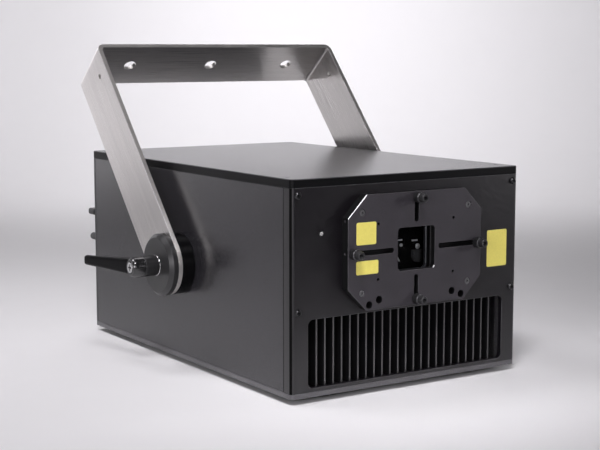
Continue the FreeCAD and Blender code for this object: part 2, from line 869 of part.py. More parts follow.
# Circuit boards on standoffs at the front: the scanner driver on the right, the controller on the left
driver_x0 = block_x1 + board_block_gap
control_x1 = block_x0 - board_block_gap
board_edge = deck_half - board_edge_gap
boards = []
for x0, x1, y0, length in ((driver_x0, board_edge, y_front + driver_y0, driver_l),
                           (-board_edge, control_x1, y_front + control_y0, control_l)):
    y1 = y0 + length
    z = deck_top + board_lift
    pieces = [block(x0, x1, y0, y1, z, z + board_t)]
    for x in (x0 + standoff_in, x1 - standoff_in):
        for y in (y0 + standoff_in, y1 - standoff_in):
            pieces.append(rod(standoff_r, board_lift, x, y, deck_top, Z))
    x = (x0 + x1 - chip_w) / 2
    y = (y0 + y1 - chip_w) / 2
    pieces.append(block(x, x + chip_w, y, y + chip_w, z + board_t, z + board_t + chip_h))
    boards.append(fuse_all(pieces))
save_group("circuit_boards", boards)

# Power supply in its own case at the right
supply_at = y_front + supply_y0
supply_x1 = deck_half - supply_edge_gap
supply = block(supply_x1 - supply_w, supply_x1, supply_at, supply_at + supply_l,
               deck_top, deck_top + supply_h)
save("power_supply", rounded(supply, Y, supply_r))

# Rear panel with its cut-outs
rear = block(-half_w, half_w, side_y1, y_rear, z_floor, z_lid)
corners = [e for e in edges_along(rear, Z) if abs(e.CenterOfMass.y - y_rear) < same]
rear = rear.makeFillet(body_corner_r, corners)
web_y = y_rear - rear_web
fan_at = []
for side in (-1, 1):
    fan_at.append((side * fan_x, fan_z))
fan_screw_at = []
for x, z in fan_at:
    for dx in (-fan_hole, fan_hole):
        for dz in (-fan_hole, fan_hole):
            fan_screw_at.append((x + dx, z + dz))
rounds = ((dmx_in_x, "in"), (dmx_out_x, "out"), (interlock_x, "out"))
holes = [block(-pocket_half, pocket_half, side_y1, web_y, z_floor + rim_bottom, z_lid - rim_top)]
for x, z in fan_at:
    holes.append(rod(fan_bore_r, rear_web, x, web_y, z, Y))
for x, z in fan_screw_at:
    holes.append(rod(panel_screw_r + screw_gap, rear_web, x, web_y, z, Y))
for x, z in rear_screw_at:
    holes.append(rod(panel_screw_r + screw_gap, rear_rim, x, side_y1, z, Y))
holes.append(rod(key_body_r + screw_gap, rear_rim, key_x, side_y1, z_base + key_z, Y))
holes.append(rod(bush_r + screw_gap, rear_rim, menu_x, side_y1, z_base + menu_z, Y))
for x in dsub_x:
    holes.append(slab(x, z_base + dsub_z, dsub_body_w + 2 * screw_gap, dsub_body_h + 2 * screw_gap,
                      web_y, y_rear, small_r))
for x, kind in rounds:
    holes.append(rod(round_body_r + screw_gap, rear_web, x, web_y, z_base + round_z, Y))
holes.append(slab(inlet_x, z_base + inlet_z, inlet_body_w + 2 * screw_gap,
                  inlet_body_h + 2 * screw_gap, web_y, y_rear, inlet_r))
save("rear_panel", cut_all(rear, holes))

# Fan frames behind the rear panel, each with a motor base on four struts and a shaft
fan_y0 = web_y - fan_t
base_y = web_y - fan_base_t
frames = []
for x, z in fan_at:
    body = slab(x, z, fan_w, fan_w, fan_y0, web_y, fan_corner_r)
    body = body.cut(rod(fan_bore_r, fan_t, x, fan_y0, z, Y))
    arms = [rod(fan_hub_r, fan_base_t, x, base_y, z, Y)]
    arms.append(block(x - fan_bore_r - join, x + fan_bore_r + join, base_y, web_y,
                      z - fan_strut_w / 2, z + fan_strut_w / 2))
    arms.append(block(x - fan_strut_w / 2, x + fan_strut_w / 2, base_y, web_y,
                      z - fan_bore_r - join, z + fan_bore_r + join))
    arms.append(rod(fan_shaft_r, fan_shaft_l, x, base_y, z, -Y))
    body = fuse_all([body] + arms)
    for sx, sz in fan_screw_at:
        if abs(sx - x) < fan_w and abs(sz - z) < fan_w:
            body = body.cut(rod(panel_screw_r + screw_gap, fan_t, sx, fan_y0, sz, Y))
    frames.append(body)
save_group("fan_frames", frames)

# Fan rotors, a hub with tilted blades that runs on the frame's shaft
hub_y1 = base_y - slide_gap
for name, (x, z) in zip(("fan_rotor_left", "fan_rotor_right"), fan_at):
    hub = rod(fan_hub_r, fan_hub_l, x, hub_y1, z, -Y)
    pieces = [hub]
    for i in range(fan_blades):
        vane = block(fan_hub_r - join, fan_blade_r, -fan_blade_w / 2, fan_blade_w / 2,
                     -fan_blade_t / 2, fan_blade_t / 2)
        vane.rotate(V(0, 0, 0), X, fan_blade_deg)
        vane.rotate(V(0, 0, 0), Y, 360 / fan_blades * i)
        vane.translate(V(x, hub_y1 - fan_hub_l / 2, z))
        pieces.append(vane)
    rim = rod(fan_blade_r, fan_hub_l, x, hub_y1, z, -Y)
    rotor = fuse_all(pieces).common(rim)
    save(name, rotor.cut(rod(fan_shaft_r + run_gap, fan_hub_l, x, hub_y1, z, -Y)))

# Fan guards of flat rings and diagonal wires on the rear panel
guards = []
for x, z in fan_at:
    pieces = []
    for i in range(guard_rings):
        outer = guard_ring_first + i * guard_ring_step
        ring = rod(outer, guard_t, x, y_rear, z, Y)
        pieces.append(ring.cut(rod(outer - guard_wire, guard_t, x, y_rear, z, Y)))
    reach = fan_hole * math.sqrt(2)
    for turn in (45, 135):
        wire = block(-reach, reach, 0, guard_t, -guard_wire, guard_wire)
        wire.rotate(V(0, 0, 0), Y, turn)
        wire.translate(V(x, y_rear, z))
        pieces.append(wire)
    lugs = []
    for sx, sz in fan_screw_at:
        if abs(sx - x) < fan_w and abs(sz - z) < fan_w:
            pieces.append(rod(guard_lug_r, guard_t, sx, y_rear, sz, Y))
            lugs.append(rod(panel_screw_r + screw_gap, guard_t, sx, y_rear, sz, Y))
    guards.append(cut_all(fuse_all(pieces), lugs))
save_group("fan_guards", guards)

# Button-head screws of the front panel, the rear panel and the fans
screws = []
for x, z in front_screw_at:
    screws.append(panel_screw(V(x, y_front, z), Y, front_rim + panel_screw_grip))
for x, z in rear_screw_at:
    screws.append(panel_screw(V(x, y_rear, z), -Y, rear_rim + panel_screw_grip))
for x, z in fan_screw_at:
    screws.append(panel_screw(V(x, y_rear + guard_t, z), -Y, guard_t + rear_web + fan_screw_grip))
save_group("panel_screws", screws)

# Key switch and its key, which lies level at rest
key_at = z_base + key_z
barrel = fuse_all([rod(key_flange_r, key_flange_t, key_x, y_rear, key_at, Y),
                   rod(key_nose_r, key_flange_t + key_nose_l, key_x, y_rear, key_at, Y),
                   rod(key_body_r, key_body_l, key_x, y_rear, key_at, -Y)])
nose_y = y_rear + key_flange_t + key_nose_l
stem_room = rod(key_stem_r + run_gap, key_stem_l + slide_gap, key_x, nose_y, key_at, -Y)
save("key_switch_barrel", barrel.cut(stem_room))
bow_y = nose_y + seat_gap
stem = rod(key_stem_r, key_stem_l + seat_gap + join, key_x, bow_y + join, key_at, -Y)
bow = slab(key_x, key_at, key_bow_w, key_bow_t, bow_y, bow_y + key_bow_l, key_bow_r)
save("switch_key", stem.fuse(bow).removeSplitter())

# Control panel: a bezel with a display and a bush for the menu knob
panel_mid_x = (panel_x0 + panel_x1) / 2
panel_mid_z = z_base + (panel_z0 + panel_z1) / 2
panel_out = y_rear + panel_t
bezel = slab(panel_mid_x, panel_mid_z, panel_x1 - panel_x0, panel_z1 - panel_z0, y_rear, panel_out,
             panel_r)
menu_at = z_base + menu_z
bush = rod(bush_r, bush_l + panel_t + bush_out, menu_x, panel_out + bush_out, menu_at, -Y)
display_at = z_base + display_z
window_seat = slab(display_x, display_at, display_w + 2 * seat_gap, display_h + 2 * seat_gap,
                   panel_out - display_t, panel_out, small_r)
bush_bore = rod(bush_bore_r + run_gap, menu_shaft_l + slide_gap, menu_x, panel_out + bush_out, menu_at,
                -Y)
save("control_panel", bezel.fuse(bush).removeSplitter().cut(window_seat).cut(bush_bore))
save("display_glass", slab(display_x, display_at, display_w, display_h, panel_out - display_t,
                           panel_out, small_r))
menu_back = panel_out + bush_out + slide_gap
menu_shaft = rod(bush_bore_r, menu_shaft_l + slide_gap + join, menu_x, menu_back + join, menu_at, -Y)
menu = rod(menu_r, menu_l, menu_x, menu_back, menu_at, Y).fuse(menu_shaft)
save("menu_knob", menu.removeSplitter())

# Mains inlet with its three pins, and a rocker switch above them
inlet_at = z_base + inlet_z
inlet_out = y_rear + inlet_flange_t
inlet = slab(inlet_x, inlet_at, inlet_w, inlet_h, y_rear, inlet_out, inlet_r)
inlet_body = slab(inlet_x, inlet_at, inlet_body_w, inlet_body_h, y_rear - inlet_body_l, y_rear, inlet_r)
socket_at = inlet_at - socket_drop
socket = slab(inlet_x, socket_at, socket_w, socket_h, inlet_out - socket_depth, inlet_out, socket_r)
rocker_at = inlet_at + rocker_up
well = block(inlet_x - rocker_w / 2 - rocker_gap, inlet_x + rocker_w / 2 + rocker_gap,
             inlet_out - rocker_well, inlet_out,
             rocker_at - rocker_h / 2 - rocker_gap, rocker_at + rocker_h / 2 + rocker_gap)
rocker_y = inlet_out - rocker_t / 2
pin_half = rocker_w / 2 + rocker_pin_l
axle_room = rod(rocker_pin_r + run_gap, 2 * (pin_half + rocker_gap), inlet_x - pin_half - rocker_gap,
                rocker_y, rocker_at, X)
shell = inlet.fuse(inlet_body).removeSplitter()
shell = shell.cut(socket).cut(well).cut(axle_room)
pins = []
for dx, dz in ((-pin_pitch / 2, 0), (pin_pitch / 2, 0), (0, earth_up)):
    pins.append(block(inlet_x + dx - pin_w / 2, inlet_x + dx + pin_w / 2,
                      inlet_out - socket_depth - join, inlet_out - socket_depth + pin_l,
                      socket_at + dz - pin_h / 2, socket_at + dz + pin_h / 2))
save("mains_inlet", fuse_all([shell] + pins))

rocker_x0 = inlet_x - rocker_w / 2
rocker_tip = inlet_out + rocker_rise
rocker = prism([V(rocker_x0, rocker_y - rocker_t / 2, rocker_at - rocker_h / 2),
                V(rocker_x0, rocker_y - rocker_t / 2, rocker_at + rocker_h / 2),
                V(rocker_x0, rocker_tip, rocker_at + rocker_h / 2),
                V(rocker_x0, inlet_out, rocker_at),
                V(rocker_x0, rocker_tip, rocker_at - rocker_h / 2)], V(rocker_w, 0, 0))
axle = rod(rocker_pin_r, 2 * pin_half, inlet_x - pin_half, rocker_y, rocker_at, X)
save("power_switch_rocker", rocker.fuse(axle).removeSplitter())

# Data sockets: two flat multi-pin ones and the round ones with small holes in a flat face
sockets = []
for x in dsub_x:
    z = z_base + dsub_z
    flange = slab(x, z, dsub_flange_w, dsub_flange_h, y_rear, y_rear + dsub_flange_t, dsub_flange_r)
    nose = slab(x, z, dsub_shell_w, dsub_shell_h, y_rear, y_rear + dsub_flange_t + dsub_shell_l,
                dsub_shell_r)
    body = slab(x, z, dsub_body_w, dsub_body_h, y_rear - dsub_body_l, y_rear, small_r)
    sockets.append(fuse_all([flange, nose, body]))
round_out = y_rear + round_flange_t
pin_places = ((-round_pin_at, 0), (round_pin_at, 0), (0, -round_pin_at))
for x, kind in rounds:
    z = z_base + round_z
    flange = slab(x, z, round_w, round_h, y_rear, round_out, round_r)
    body = rod(round_body_r, round_body_l, x, y_rear, z, -Y)
    body = flange.fuse(body).removeSplitter()
    pins = []
    for dx, dz in pin_places:
        pins.append(rod(round_pin_r, round_well + join, x + dx, round_out - round_well - join, z + dz, Y))
    if kind == "out":
        sockets.append(cut_all(body, pins))
    else:
        body = body.cut(rod(round_face_r, round_well, x, round_out - round_well, z, Y))
        inner = [pin.common(rod(round_face_r, round_well, x, round_out - round_well - join, z, Y))
                 for pin in pins]
        save("dmx_input_socket", fuse_all([body] + inner))
save_group("data_sockets", sockets)

# Pivot bosses between the case and the yoke, and the studs through the side panels
boss = rod(boss_r, boss_l, half_w, pivot.y, pivot.z, X)
boss = boss.cut(rod(stud_pivot_r + screw_gap, boss_l, half_w, pivot.y, pivot.z, X))
save_group("pivot_bosses", [mirrored(boss), boss])
flange = rod(stud_flange_r, stud_flange_t, side_in - stud_flange_t, pivot.y, pivot.z, X)
stud = rod(stud_pivot_r, stud_end - side_in, side_in, pivot.y, pivot.z, X)
stud = flange.fuse(stud).removeSplitter()
save_group("pivot_studs", [mirrored(stud), stud])

# Yoke: one strip bent into a U, round at both ends, leaned back about the pivot
rise = yoke_inner_r + yoke_t
outer = block(-yoke_outer, yoke_outer, -yoke_w / 2, yoke_w / 2, 0, rise)
bends = [e for e in edges_along(outer, Y) if abs(e.CenterOfMass.z - rise) < same]
outer = outer.makeFillet(yoke_bend_r, bends)
inner = block(-yoke_inner, yoke_inner, -yoke_w / 2, yoke_w / 2, 0, yoke_inner_r)
bends = [e for e in edges_along(inner, Y) if abs(e.CenterOfMass.z - yoke_inner_r) < same]
inner = inner.makeFillet(yoke_bend_r - yoke_t, bends)
yoke = [outer.cut(inner)]
for x in (-yoke_outer, yoke_inner):
    yoke.append(rod(yoke_w / 2, yoke_t, x, 0, 0, X))
yoke = fuse_all(yoke)
holes = [rod(stud_pivot_r + run_gap, 2 * yoke_outer, -yoke_outer, 0, 0, X)]
holes.append(rod(safety_hole_r, 2 * yoke_outer, -yoke_outer, safety_hole_off, safety_hole_up, X))
for x in (-hang_hole_x, 0, hang_hole_x):
    holes.append(rod(hang_hole_r, yoke_t, x, 0, yoke_inner_r, Z))
yoke = cut_all(yoke, holes)
yoke.rotate(V(0, 0, 0), X, -yoke_lean)
yoke.translate(pivot)
save("yoke_bracket", yoke)

# Clamp discs against the yoke and washers under the levers
disc = rod(disc_r, disc_t, yoke_outer, pivot.y, pivot.z, X)
far_edges = []
for edge in disc.Edges:
    if abs(edge.CenterOfMass.x - disc_out) < same:
        far_edges.append(edge)
disc = disc.makeChamfer(disc_edge, far_edges)
disc = disc.cut(rod(stud_pivot_r + run_gap, disc_t, yoke_outer, pivot.y, pivot.z, X))
save_group("clamp_discs", [mirrored(disc), disc])
washer = rod(washer_r, washer_t, washer_in, pivot.y, pivot.z, X)
washer = washer.cut(rod(stud_pivot_r + screw_gap, washer_t, washer_in, pivot.y, pivot.z, X))
save_group("lever_washers", [mirrored(washer), washer])

# Clamp lever: an insert that turns on the stud, a handle that lifts off its neck, and an end screw
insert = rod(insert_r, insert_l, insert_in, pivot.y, pivot.z, X)
far_edges = []
for edge in insert.Edges:
    if abs(edge.CenterOfMass.x - insert_out) < same:
        far_edges.append(edge)
insert = insert.makeChamfer(insert_edge, far_edges)
neck = rod(insert_neck_r, insert_neck_l, insert_out, pivot.y, pivot.z, X)
insert = insert.fuse(neck).removeSplitter()
insert = insert.cut(rod(stud_pivot_r + run_gap, insert_bore_l, insert_in, pivot.y, pivot.z, X))
screw_head = insert_out + lever_screw_up
screw_l = screw_head - (insert_out + insert_neck_l) + lever_screw_grip
screw_room = rod(lever_screw_r + screw_gap, screw_l + screw_gap, screw_head, pivot.y, pivot.z, -X)
insert = insert.cut(screw_room)

hub_out = hub_in + hub_l
hub = rod(hub_r, hub_l - hub_step, hub_in, pivot.y, pivot.z, X)
hub_end = Part.makeCone(hub_r, hub_end_r, hub_step, V(hub_out - hub_step, pivot.y, pivot.z), X)
arm_x = hub_in + hub_l / 2
sections = []
for along, h, t in ((lever_root, lever_root_h, lever_root_t), (lever_len, lever_tip_h, lever_tip_t)):
    share = along / lever_len
    mid = V(arm_x + lever_rise * share, pivot.y + along, pivot.z - lever_droop * share)
    ring = [mid + V(-t / 2, 0, -h / 2), mid + V(t / 2, 0, -h / 2),
            mid + V(t / 2, 0, h / 2), mid + V(-t / 2, 0, h / 2)]
    sections.append(Part.makePolygon(ring + ring[:1]))
arm = Part.makeLoft(sections, True, True)
long_edges = []
for edge in arm.Edges:
    if edge.Length > lever_len / 2 or edge.CenterOfMass.y > pivot.y + lever_len - join:
        long_edges.append(edge)
arm = arm.makeFillet(lever_edge, long_edges)
handle = fuse_all([hub, hub_end, arm])
well_x = hub_in + hub_bore_l + hub_web
holes = [rod(insert_neck_r + slide_gap, hub_bore_l, hub_in, pivot.y, pivot.z, X)]
holes.append(rod(lever_screw_r + slide_gap, hub_web, hub_in + hub_bore_l, pivot.y, pivot.z, X))
holes.append(rod(hub_well_r, lever_rise + hub_l, well_x, pivot.y, pivot.z, X))
handle = cut_all(handle, holes)

screw = rod(lever_screw_head_r, lever_screw_head_h, screw_head, pivot.y, pivot.z, X)
screw = screw.fuse(rod(lever_screw_r, screw_l, screw_head, pivot.y, pivot.z, -X)).removeSplitter()
cross_x = screw_head + lever_screw_head_h - cross_depth
for h, w in ((cross_l, cross_w), (cross_w, cross_l)):
    screw = screw.cut(block(cross_x, cross_x + cross_depth, pivot.y - w / 2, pivot.y + w / 2,
                            pivot.z - h / 2, pivot.z + h / 2))
for name, piece in (("lever_insert", insert), ("lever_handle", handle), ("lever_screw", screw)):
    save(name + "_left", mirrored(piece))
    save(name + "_right", piece)
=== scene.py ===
import json
import math

import bmesh
import bpy
from mathutils import Matrix, Vector


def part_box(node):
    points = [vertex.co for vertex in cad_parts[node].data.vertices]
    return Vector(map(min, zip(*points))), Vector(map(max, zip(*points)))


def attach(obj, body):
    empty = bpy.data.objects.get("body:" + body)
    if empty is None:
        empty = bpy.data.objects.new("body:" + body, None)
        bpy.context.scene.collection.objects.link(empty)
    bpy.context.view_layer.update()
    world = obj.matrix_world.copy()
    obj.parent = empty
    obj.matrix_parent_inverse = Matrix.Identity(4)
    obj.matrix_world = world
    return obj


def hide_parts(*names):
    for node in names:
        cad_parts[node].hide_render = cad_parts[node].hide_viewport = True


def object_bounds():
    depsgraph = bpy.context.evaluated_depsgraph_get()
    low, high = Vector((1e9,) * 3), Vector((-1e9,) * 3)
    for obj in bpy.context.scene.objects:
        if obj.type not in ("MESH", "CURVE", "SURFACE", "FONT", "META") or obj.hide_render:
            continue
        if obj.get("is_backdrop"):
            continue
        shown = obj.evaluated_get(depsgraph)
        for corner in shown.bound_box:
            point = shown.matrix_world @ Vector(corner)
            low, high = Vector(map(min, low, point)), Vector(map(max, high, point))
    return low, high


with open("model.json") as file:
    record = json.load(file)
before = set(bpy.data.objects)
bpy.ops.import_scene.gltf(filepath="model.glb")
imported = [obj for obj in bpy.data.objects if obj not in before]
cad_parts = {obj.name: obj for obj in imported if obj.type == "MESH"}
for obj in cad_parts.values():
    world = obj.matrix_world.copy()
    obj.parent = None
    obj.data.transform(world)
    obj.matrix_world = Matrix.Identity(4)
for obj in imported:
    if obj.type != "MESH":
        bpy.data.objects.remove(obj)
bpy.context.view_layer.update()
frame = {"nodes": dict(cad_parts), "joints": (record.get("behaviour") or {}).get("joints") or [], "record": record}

# Base plate: a thick aluminium plate under the whole case, sawn to size and anodised black.
# Its edges are broken with a tool, and screws go up through it into the corner posts.
body_of = {}
for body, members in frame["record"]["behaviour"]["bodies"].items():
    body_of.update(dict.fromkeys(members, body))
weld = 0.00002
same_plane = math.radians(1)
sharp_edge = math.radians(35)
long_edge = 0.03
noise_range = (0.3, 0.7)
mottle_range = (0.36, 0.64)
coat_rough = 0.12
base_edge = 0.0005
side_tilt = 0.5


def new_group(name, inputs, outputs):
    """An empty shader node group with number inputs and outputs."""
    group = bpy.data.node_groups.new(name, "ShaderNodeTree")
    for label, value in inputs.items():
        socket = group.interface.new_socket(label, in_out="INPUT", socket_type="NodeSocketFloat")
        socket.default_value = value
    for label in outputs:
        group.interface.new_socket(label, in_out="OUTPUT", socket_type="NodeSocketFloat")
    return group, group.nodes.new("NodeGroupInput"), group.nodes.new("NodeGroupOutput")


def noise(tree, scale, detail, vector):
    """A noise texture in a node tree, on the given coordinates."""
    node = tree.nodes.new("ShaderNodeTexNoise")
    node.inputs["Scale"].default_value = scale
    node.inputs["Detail"].default_value = detail
    tree.links.new(vector, node.inputs["Vector"])
    return node


def spread(tree, value, low, high):
    """Stretches the usual range of a noise texture to another range."""
    node = tree.nodes.new("ShaderNodeMapRange")
    ends = (*noise_range, low, high)
    for label, end in zip(("From Min", "From Max", "To Min", "To Max"), ends):
        node.inputs[label].default_value = end
    tree.links.new(value, node.inputs["Value"])
    return node.outputs["Result"]


def reckoned(tree, operation, first, second):
    """What a sum makes of a value and another value or a plain number."""
    node = tree.nodes.new("ShaderNodeMath")
    node.operation = operation
    tree.links.new(first, node.inputs[0])
    if isinstance(second, float):
        node.inputs[1].default_value = second
    else:
        tree.links.new(second, node.inputs[1])
    return node.outputs["Value"]


grain_group, group_in, group_out = new_group("fine_grain", {"Per metre": 900.0}, ("Grain", "Mottle"))
coords = grain_group.nodes.new("ShaderNodeTexCoord")
fine = noise(grain_group, 900, 3, coords.outputs["Object"])
cloud = noise(grain_group, 17, 4, coords.outputs["Object"])
grain_group.links.new(group_in.outputs["Per metre"], fine.inputs["Scale"])
grain_group.links.new(fine.outputs["Fac"], group_out.inputs["Grain"])
both = reckoned(grain_group, "ADD", fine.outputs["Fac"], cloud.outputs["Fac"])
grain_group.links.new(reckoned(grain_group, "MULTIPLY", both, 0.5), group_out.inputs["Mottle"])

# Lighter edges: long bevel faces get a lighter colour in noisy patches, partly wear and partly a painted sheen on
# the edges.
wear_sheen_group, group_in, group_out = new_group("edge_wear_and_sheen", {"Amount": 0.7}, ("Sheen_and_wear",))
coords = wear_sheen_group.nodes.new("ShaderNodeTexCoord")
patches = noise(wear_sheen_group, 90, 3, coords.outputs["Object"])
edge_mark = wear_sheen_group.nodes.new("ShaderNodeAttribute")
edge_mark.attribute_name = "wear_sheen"
wear_sheen_part = reckoned(wear_sheen_group, "MULTIPLY", edge_mark.outputs["Fac"],
                     spread(wear_sheen_group, patches.outputs["Fac"], 0.4, 1.0))
amount = reckoned(wear_sheen_group, "MULTIPLY", wear_sheen_part, group_in.outputs["Amount"])
wear_sheen_group.links.new(amount, group_out.inputs["Sheen_and_wear"])


def plain_material(name):
    """A new material, with its node tree and its main shader."""
    material = bpy.data.materials.new(name)
    material.use_nodes = True
    return material, material.node_tree, material.node_tree.nodes["Principled BSDF"]


def grained(tree, per_metre=900.0):
    """The fine grain, placed in a material."""
    node = tree.nodes.new("ShaderNodeGroup")
    node.node_tree = grain_group
    node.inputs["Per metre"].default_value = per_metre
    return node


def toned(tree, value, places, colours):
    """A colour that runs from one to another between two places of a value."""
    ramp = tree.nodes.new("ShaderNodeValToRGB")
    for stop, place, colour in zip(ramp.color_ramp.elements, places, colours):
        stop.position = place
        stop.color = (*colour, 1)
    tree.links.new(value, ramp.inputs["Fac"])
    return ramp.outputs["Color"]


def raised(tree, shader, height, depth):
    """Gives a shader the relief of a height."""
    node = tree.nodes.new("ShaderNodeBump")
    node.inputs["Distance"].default_value = depth
    tree.links.new(height, node.inputs["Height"])
    tree.links.new(node.outputs["Normal"], shader.inputs["Normal"])


def finish(name, colour, edge_wear_sheen, rough, metallic=0.0, grain=900.0, bump=0.00001, level=0.5, coat=0.0,
           vary=0.25):
    """A material with fine grain, soft clouding and lighter edges, partly wear and partly painted sheen."""
    material, tree, shader = plain_material(name)
    shader.inputs["Metallic"].default_value = metallic
    shader.inputs["Specular IOR Level"].default_value = level
    shader.inputs["Coat Weight"].default_value = coat
    shader.inputs["Coat Roughness"].default_value = coat_rough
    surface = grained(tree, grain)
    edges = tree.nodes.new("ShaderNodeGroup")
    edges.node_tree = wear_sheen_group
    tones = [[share * part for part in colour] for share in (1 - vary, 1 + vary)]
    mix = tree.nodes.new("ShaderNodeMixRGB")
    mix.inputs["Color2"].default_value = (*edge_wear_sheen, 1)
    tree.links.new(edges.outputs["Sheen_and_wear"], mix.inputs["Fac"])
    tree.links.new(toned(tree, surface.outputs["Mottle"], mottle_range, tones), mix.inputs["Color1"])
    tree.links.new(mix.outputs["Color"], shader.inputs["Base Color"])
    tree.links.new(spread(tree, surface.outputs["Grain"], *rough), shader.inputs["Roughness"])
    raised(tree, shader, surface.outputs["Grain"], bump)
    return material


def soften(bm, width, segments=2, edge_wear_sheen=1.0):
    """Rounds the sharp edges of a mesh and marks the long new faces by a share for the lighter edge colour, partly
    wear and partly painted sheen.
    """
    wear_sheen = bm.loops.layers.float.get("wear_sheen") or bm.loops.layers.float.new("wear_sheen")
    edges = [e for e in bm.edges if e.is_manifold and e.calc_face_angle() > sharp_edge]
    made = bmesh.ops.bevel(bm, geom=edges, offset=width, offset_type="OFFSET", segments=segments,
                           profile=0.5, affect="EDGES", clamp_overlap=False, material=-1)
    for face in made["faces"]:
        if face.calc_perimeter() > long_edge:
            for corner in face.loops:
                corner[wear_sheen] = edge_wear_sheen


def piece(name, bm, materials, node, stands=True):
    """A finished piece on a CAD node's body, which stands for that node or is added to it."""
    mesh = bpy.data.meshes.new(name)
    bm.to_mesh(mesh)
    bm.free()
    mesh.shade_smooth()
    mesh.set_sharp_from_angle(angle=sharp_edge)
    for material in materials:
        mesh.materials.append(material)
    made = bpy.data.objects.new(name, mesh)
    bpy.context.scene.collection.objects.link(made)
    made.modifiers.new("even_shading", "WEIGHTED_NORMAL").keep_sharp = True
    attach(made, body_of[node])
    if stands:
        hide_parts(node)
    return made


def copied(node):
    """A bmesh with a CAD node's own shape, welded and with its flat faces joined."""
    bm = bmesh.new()
    bm.from_mesh(frame["nodes"][node].data)
    bmesh.ops.remove_doubles(bm, verts=bm.verts, dist=weld)
    bmesh.ops.dissolve_limit(bm, angle_limit=same_plane, verts=bm.verts, edges=bm.edges)
    return bm


def eased(node, width, material, segments=2):
    """A piece with a CAD node's own shape and its sharp edges rounded."""
    bm = copied(node)
    soften(bm, width, segments)
    return piece(node + "_eased", bm, [material], node)


case_black = finish("case_black", colour=(0.022, 0.021, 0.024), edge_wear_sheen=(0.11, 0.11, 0.115),
                    rough=(0.34, 0.44), grain=1500)
# The plate's sides are painted lighter than its top and bottom: a painted sheen for the light band along its
# edges.
base_side_painted_sheen = finish("base_side_painted_sheen", colour=(0.1, 0.098, 0.103), edge_wear_sheen=(0.16, 0.16, 0.165),
                   rough=(0.3, 0.4), grain=700)
bm = copied("base_plate")
soften(bm, base_edge)
for face in bm.faces:
    face.material_index = int(abs(face.normal.z) < side_tilt)
piece("base_plate_sheened_sides", bm, [case_black, base_side_painted_sheen], "base_plate")

# Rubber feet: four moulded feet with a tapered side and a recess for the screw that holds each
# one to the base plate.
up = Vector((0, 0, 1))
foot_recess_r = 0.006
foot_recess = 0.0025
foot_lip = 0.0013


def solids_of(node):
    """The lowest and highest corner and the middle of each separate solid of a CAD node."""
    bm = copied(node)
    left = set(bm.verts)
    boxes = []
    while left:
        reach = [left.pop()]
        found = []
        while reach:
            vert = reach.pop()
            found.append(vert.co.copy())
            for edge in vert.link_edges:
                other = edge.other_vert(vert)
                if other in left:
                    left.remove(other)
                    reach.append(other)
        low, high = Vector(map(min, *found)), Vector(map(max, *found))
        boxes.append((low, high, (low + high) / 2))
    bm.free()
    return boxes


def turned(bm, profile, at, axis, steps=64, press=None, closed=False):
    """Adds a shape turned round an axis, from points of (height along the axis, radius).
    press gives a point's new radius from its height, radius and angle, for teeth and sockets."""
    before = set(bm.verts)
    line = [bm.verts.new((radius, 0, height)) for height, radius in profile]
    pairs = list(zip(line, line[1:])) + ([(line[-1], line[0])] if closed else [])
    edges = [bm.edges.new(pair) for pair in pairs]
    bmesh.ops.spin(bm, geom=line + edges, cent=(0, 0, 0), axis=up, angle=math.tau, steps=steps,
                   use_merge=True)
    bmesh.ops.remove_doubles(bm, verts=[v for v in bm.verts if v not in before], dist=weld / 10)
    new = [v for v in bm.verts if v not in before]
    bmesh.ops.recalc_face_normals(bm, faces=list({f for v in new for f in v.link_faces}))
    for vert in new:
        radius = math.hypot(vert.co.x, vert.co.y)
        if press and radius > weld:
            share = press(vert.co.z, radius, math.atan2(vert.co.y, vert.co.x)) / radius
            vert.co.x *= share
            vert.co.y *= share
    turn = up.rotation_difference(Vector(axis)).to_matrix().to_4x4()
    bmesh.ops.transform(bm, matrix=Matrix.Translation(at) @ turn, verts=new)
    return new


foot_rubber = finish("foot_rubber", colour=(0.014, 0.014, 0.015), edge_wear_sheen=(0.03, 0.03, 0.03),
                     rough=(0.3, 0.45), grain=1300, bump=0.00003)
bm = bmesh.new()
for low, high, middle in solids_of("rubber_feet"):
    foot_r = high.x - middle.x
    turned(bm, [(foot_recess, 0), (foot_recess, foot_recess_r), (0, foot_recess_r),
                (0, foot_r - 2 * foot_lip), (0.3 * foot_lip, foot_r - 1.5 * foot_lip),
                (foot_lip, foot_r - 1.1 * foot_lip), (high.z, foot_r), (high.z, 0)],
           (middle.x, middle.y, low.z), up)
piece("rubber_feet_moulded", bm, [foot_rubber], "rubber_feet")

# Heatsink: one dark anodised extrusion with hanging fins, whose front edges show in the lower
# opening. The milled corner posts that tie the case together stand beside it.
fin_ease = 0.0003
fin_wear_sheen = 0.3
facing_front = -0.9
# The fins' sides are painted near black with little sheen as painted shade, and their front faces lighter as a
# painted highlight.
fin_dark = finish("fin_dark", colour=(0.006, 0.006, 0.0065), edge_wear_sheen=(0.03, 0.03, 0.03),
                  rough=(0.45, 0.6), grain=1200, level=0.1)
fin_front_painted_highlight = finish("fin_front_painted_highlight", colour=(0.1, 0.099, 0.1), edge_wear_sheen=(0.2, 0.2, 0.2),
                  rough=(0.3, 0.42), metallic=0.5, grain=1200)
bm = copied("heatsink")
soften(bm, fin_ease, edge_wear_sheen=fin_wear_sheen)
for face in bm.faces:
    face.material_index = int(face.normal.y < facing_front)
piece("heatsink_fins", bm, [fin_dark, fin_front_painted_highlight], "heatsink")


def coat(material, *nodes):
    """Gives CAD nodes that keep their own mesh a finish."""
    for node in nodes:
        mesh = frame["nodes"][node].data
        mesh.materials.clear()
        mesh.materials.append(material)


bare_metal = finish("bare_metal", colour=(0.5, 0.5, 0.51), edge_wear_sheen=(0.7, 0.7, 0.7),
                    rough=(0.3, 0.45), metallic=1.0, grain=700)
coat(bare_metal, "corner_posts", "optical_deck")

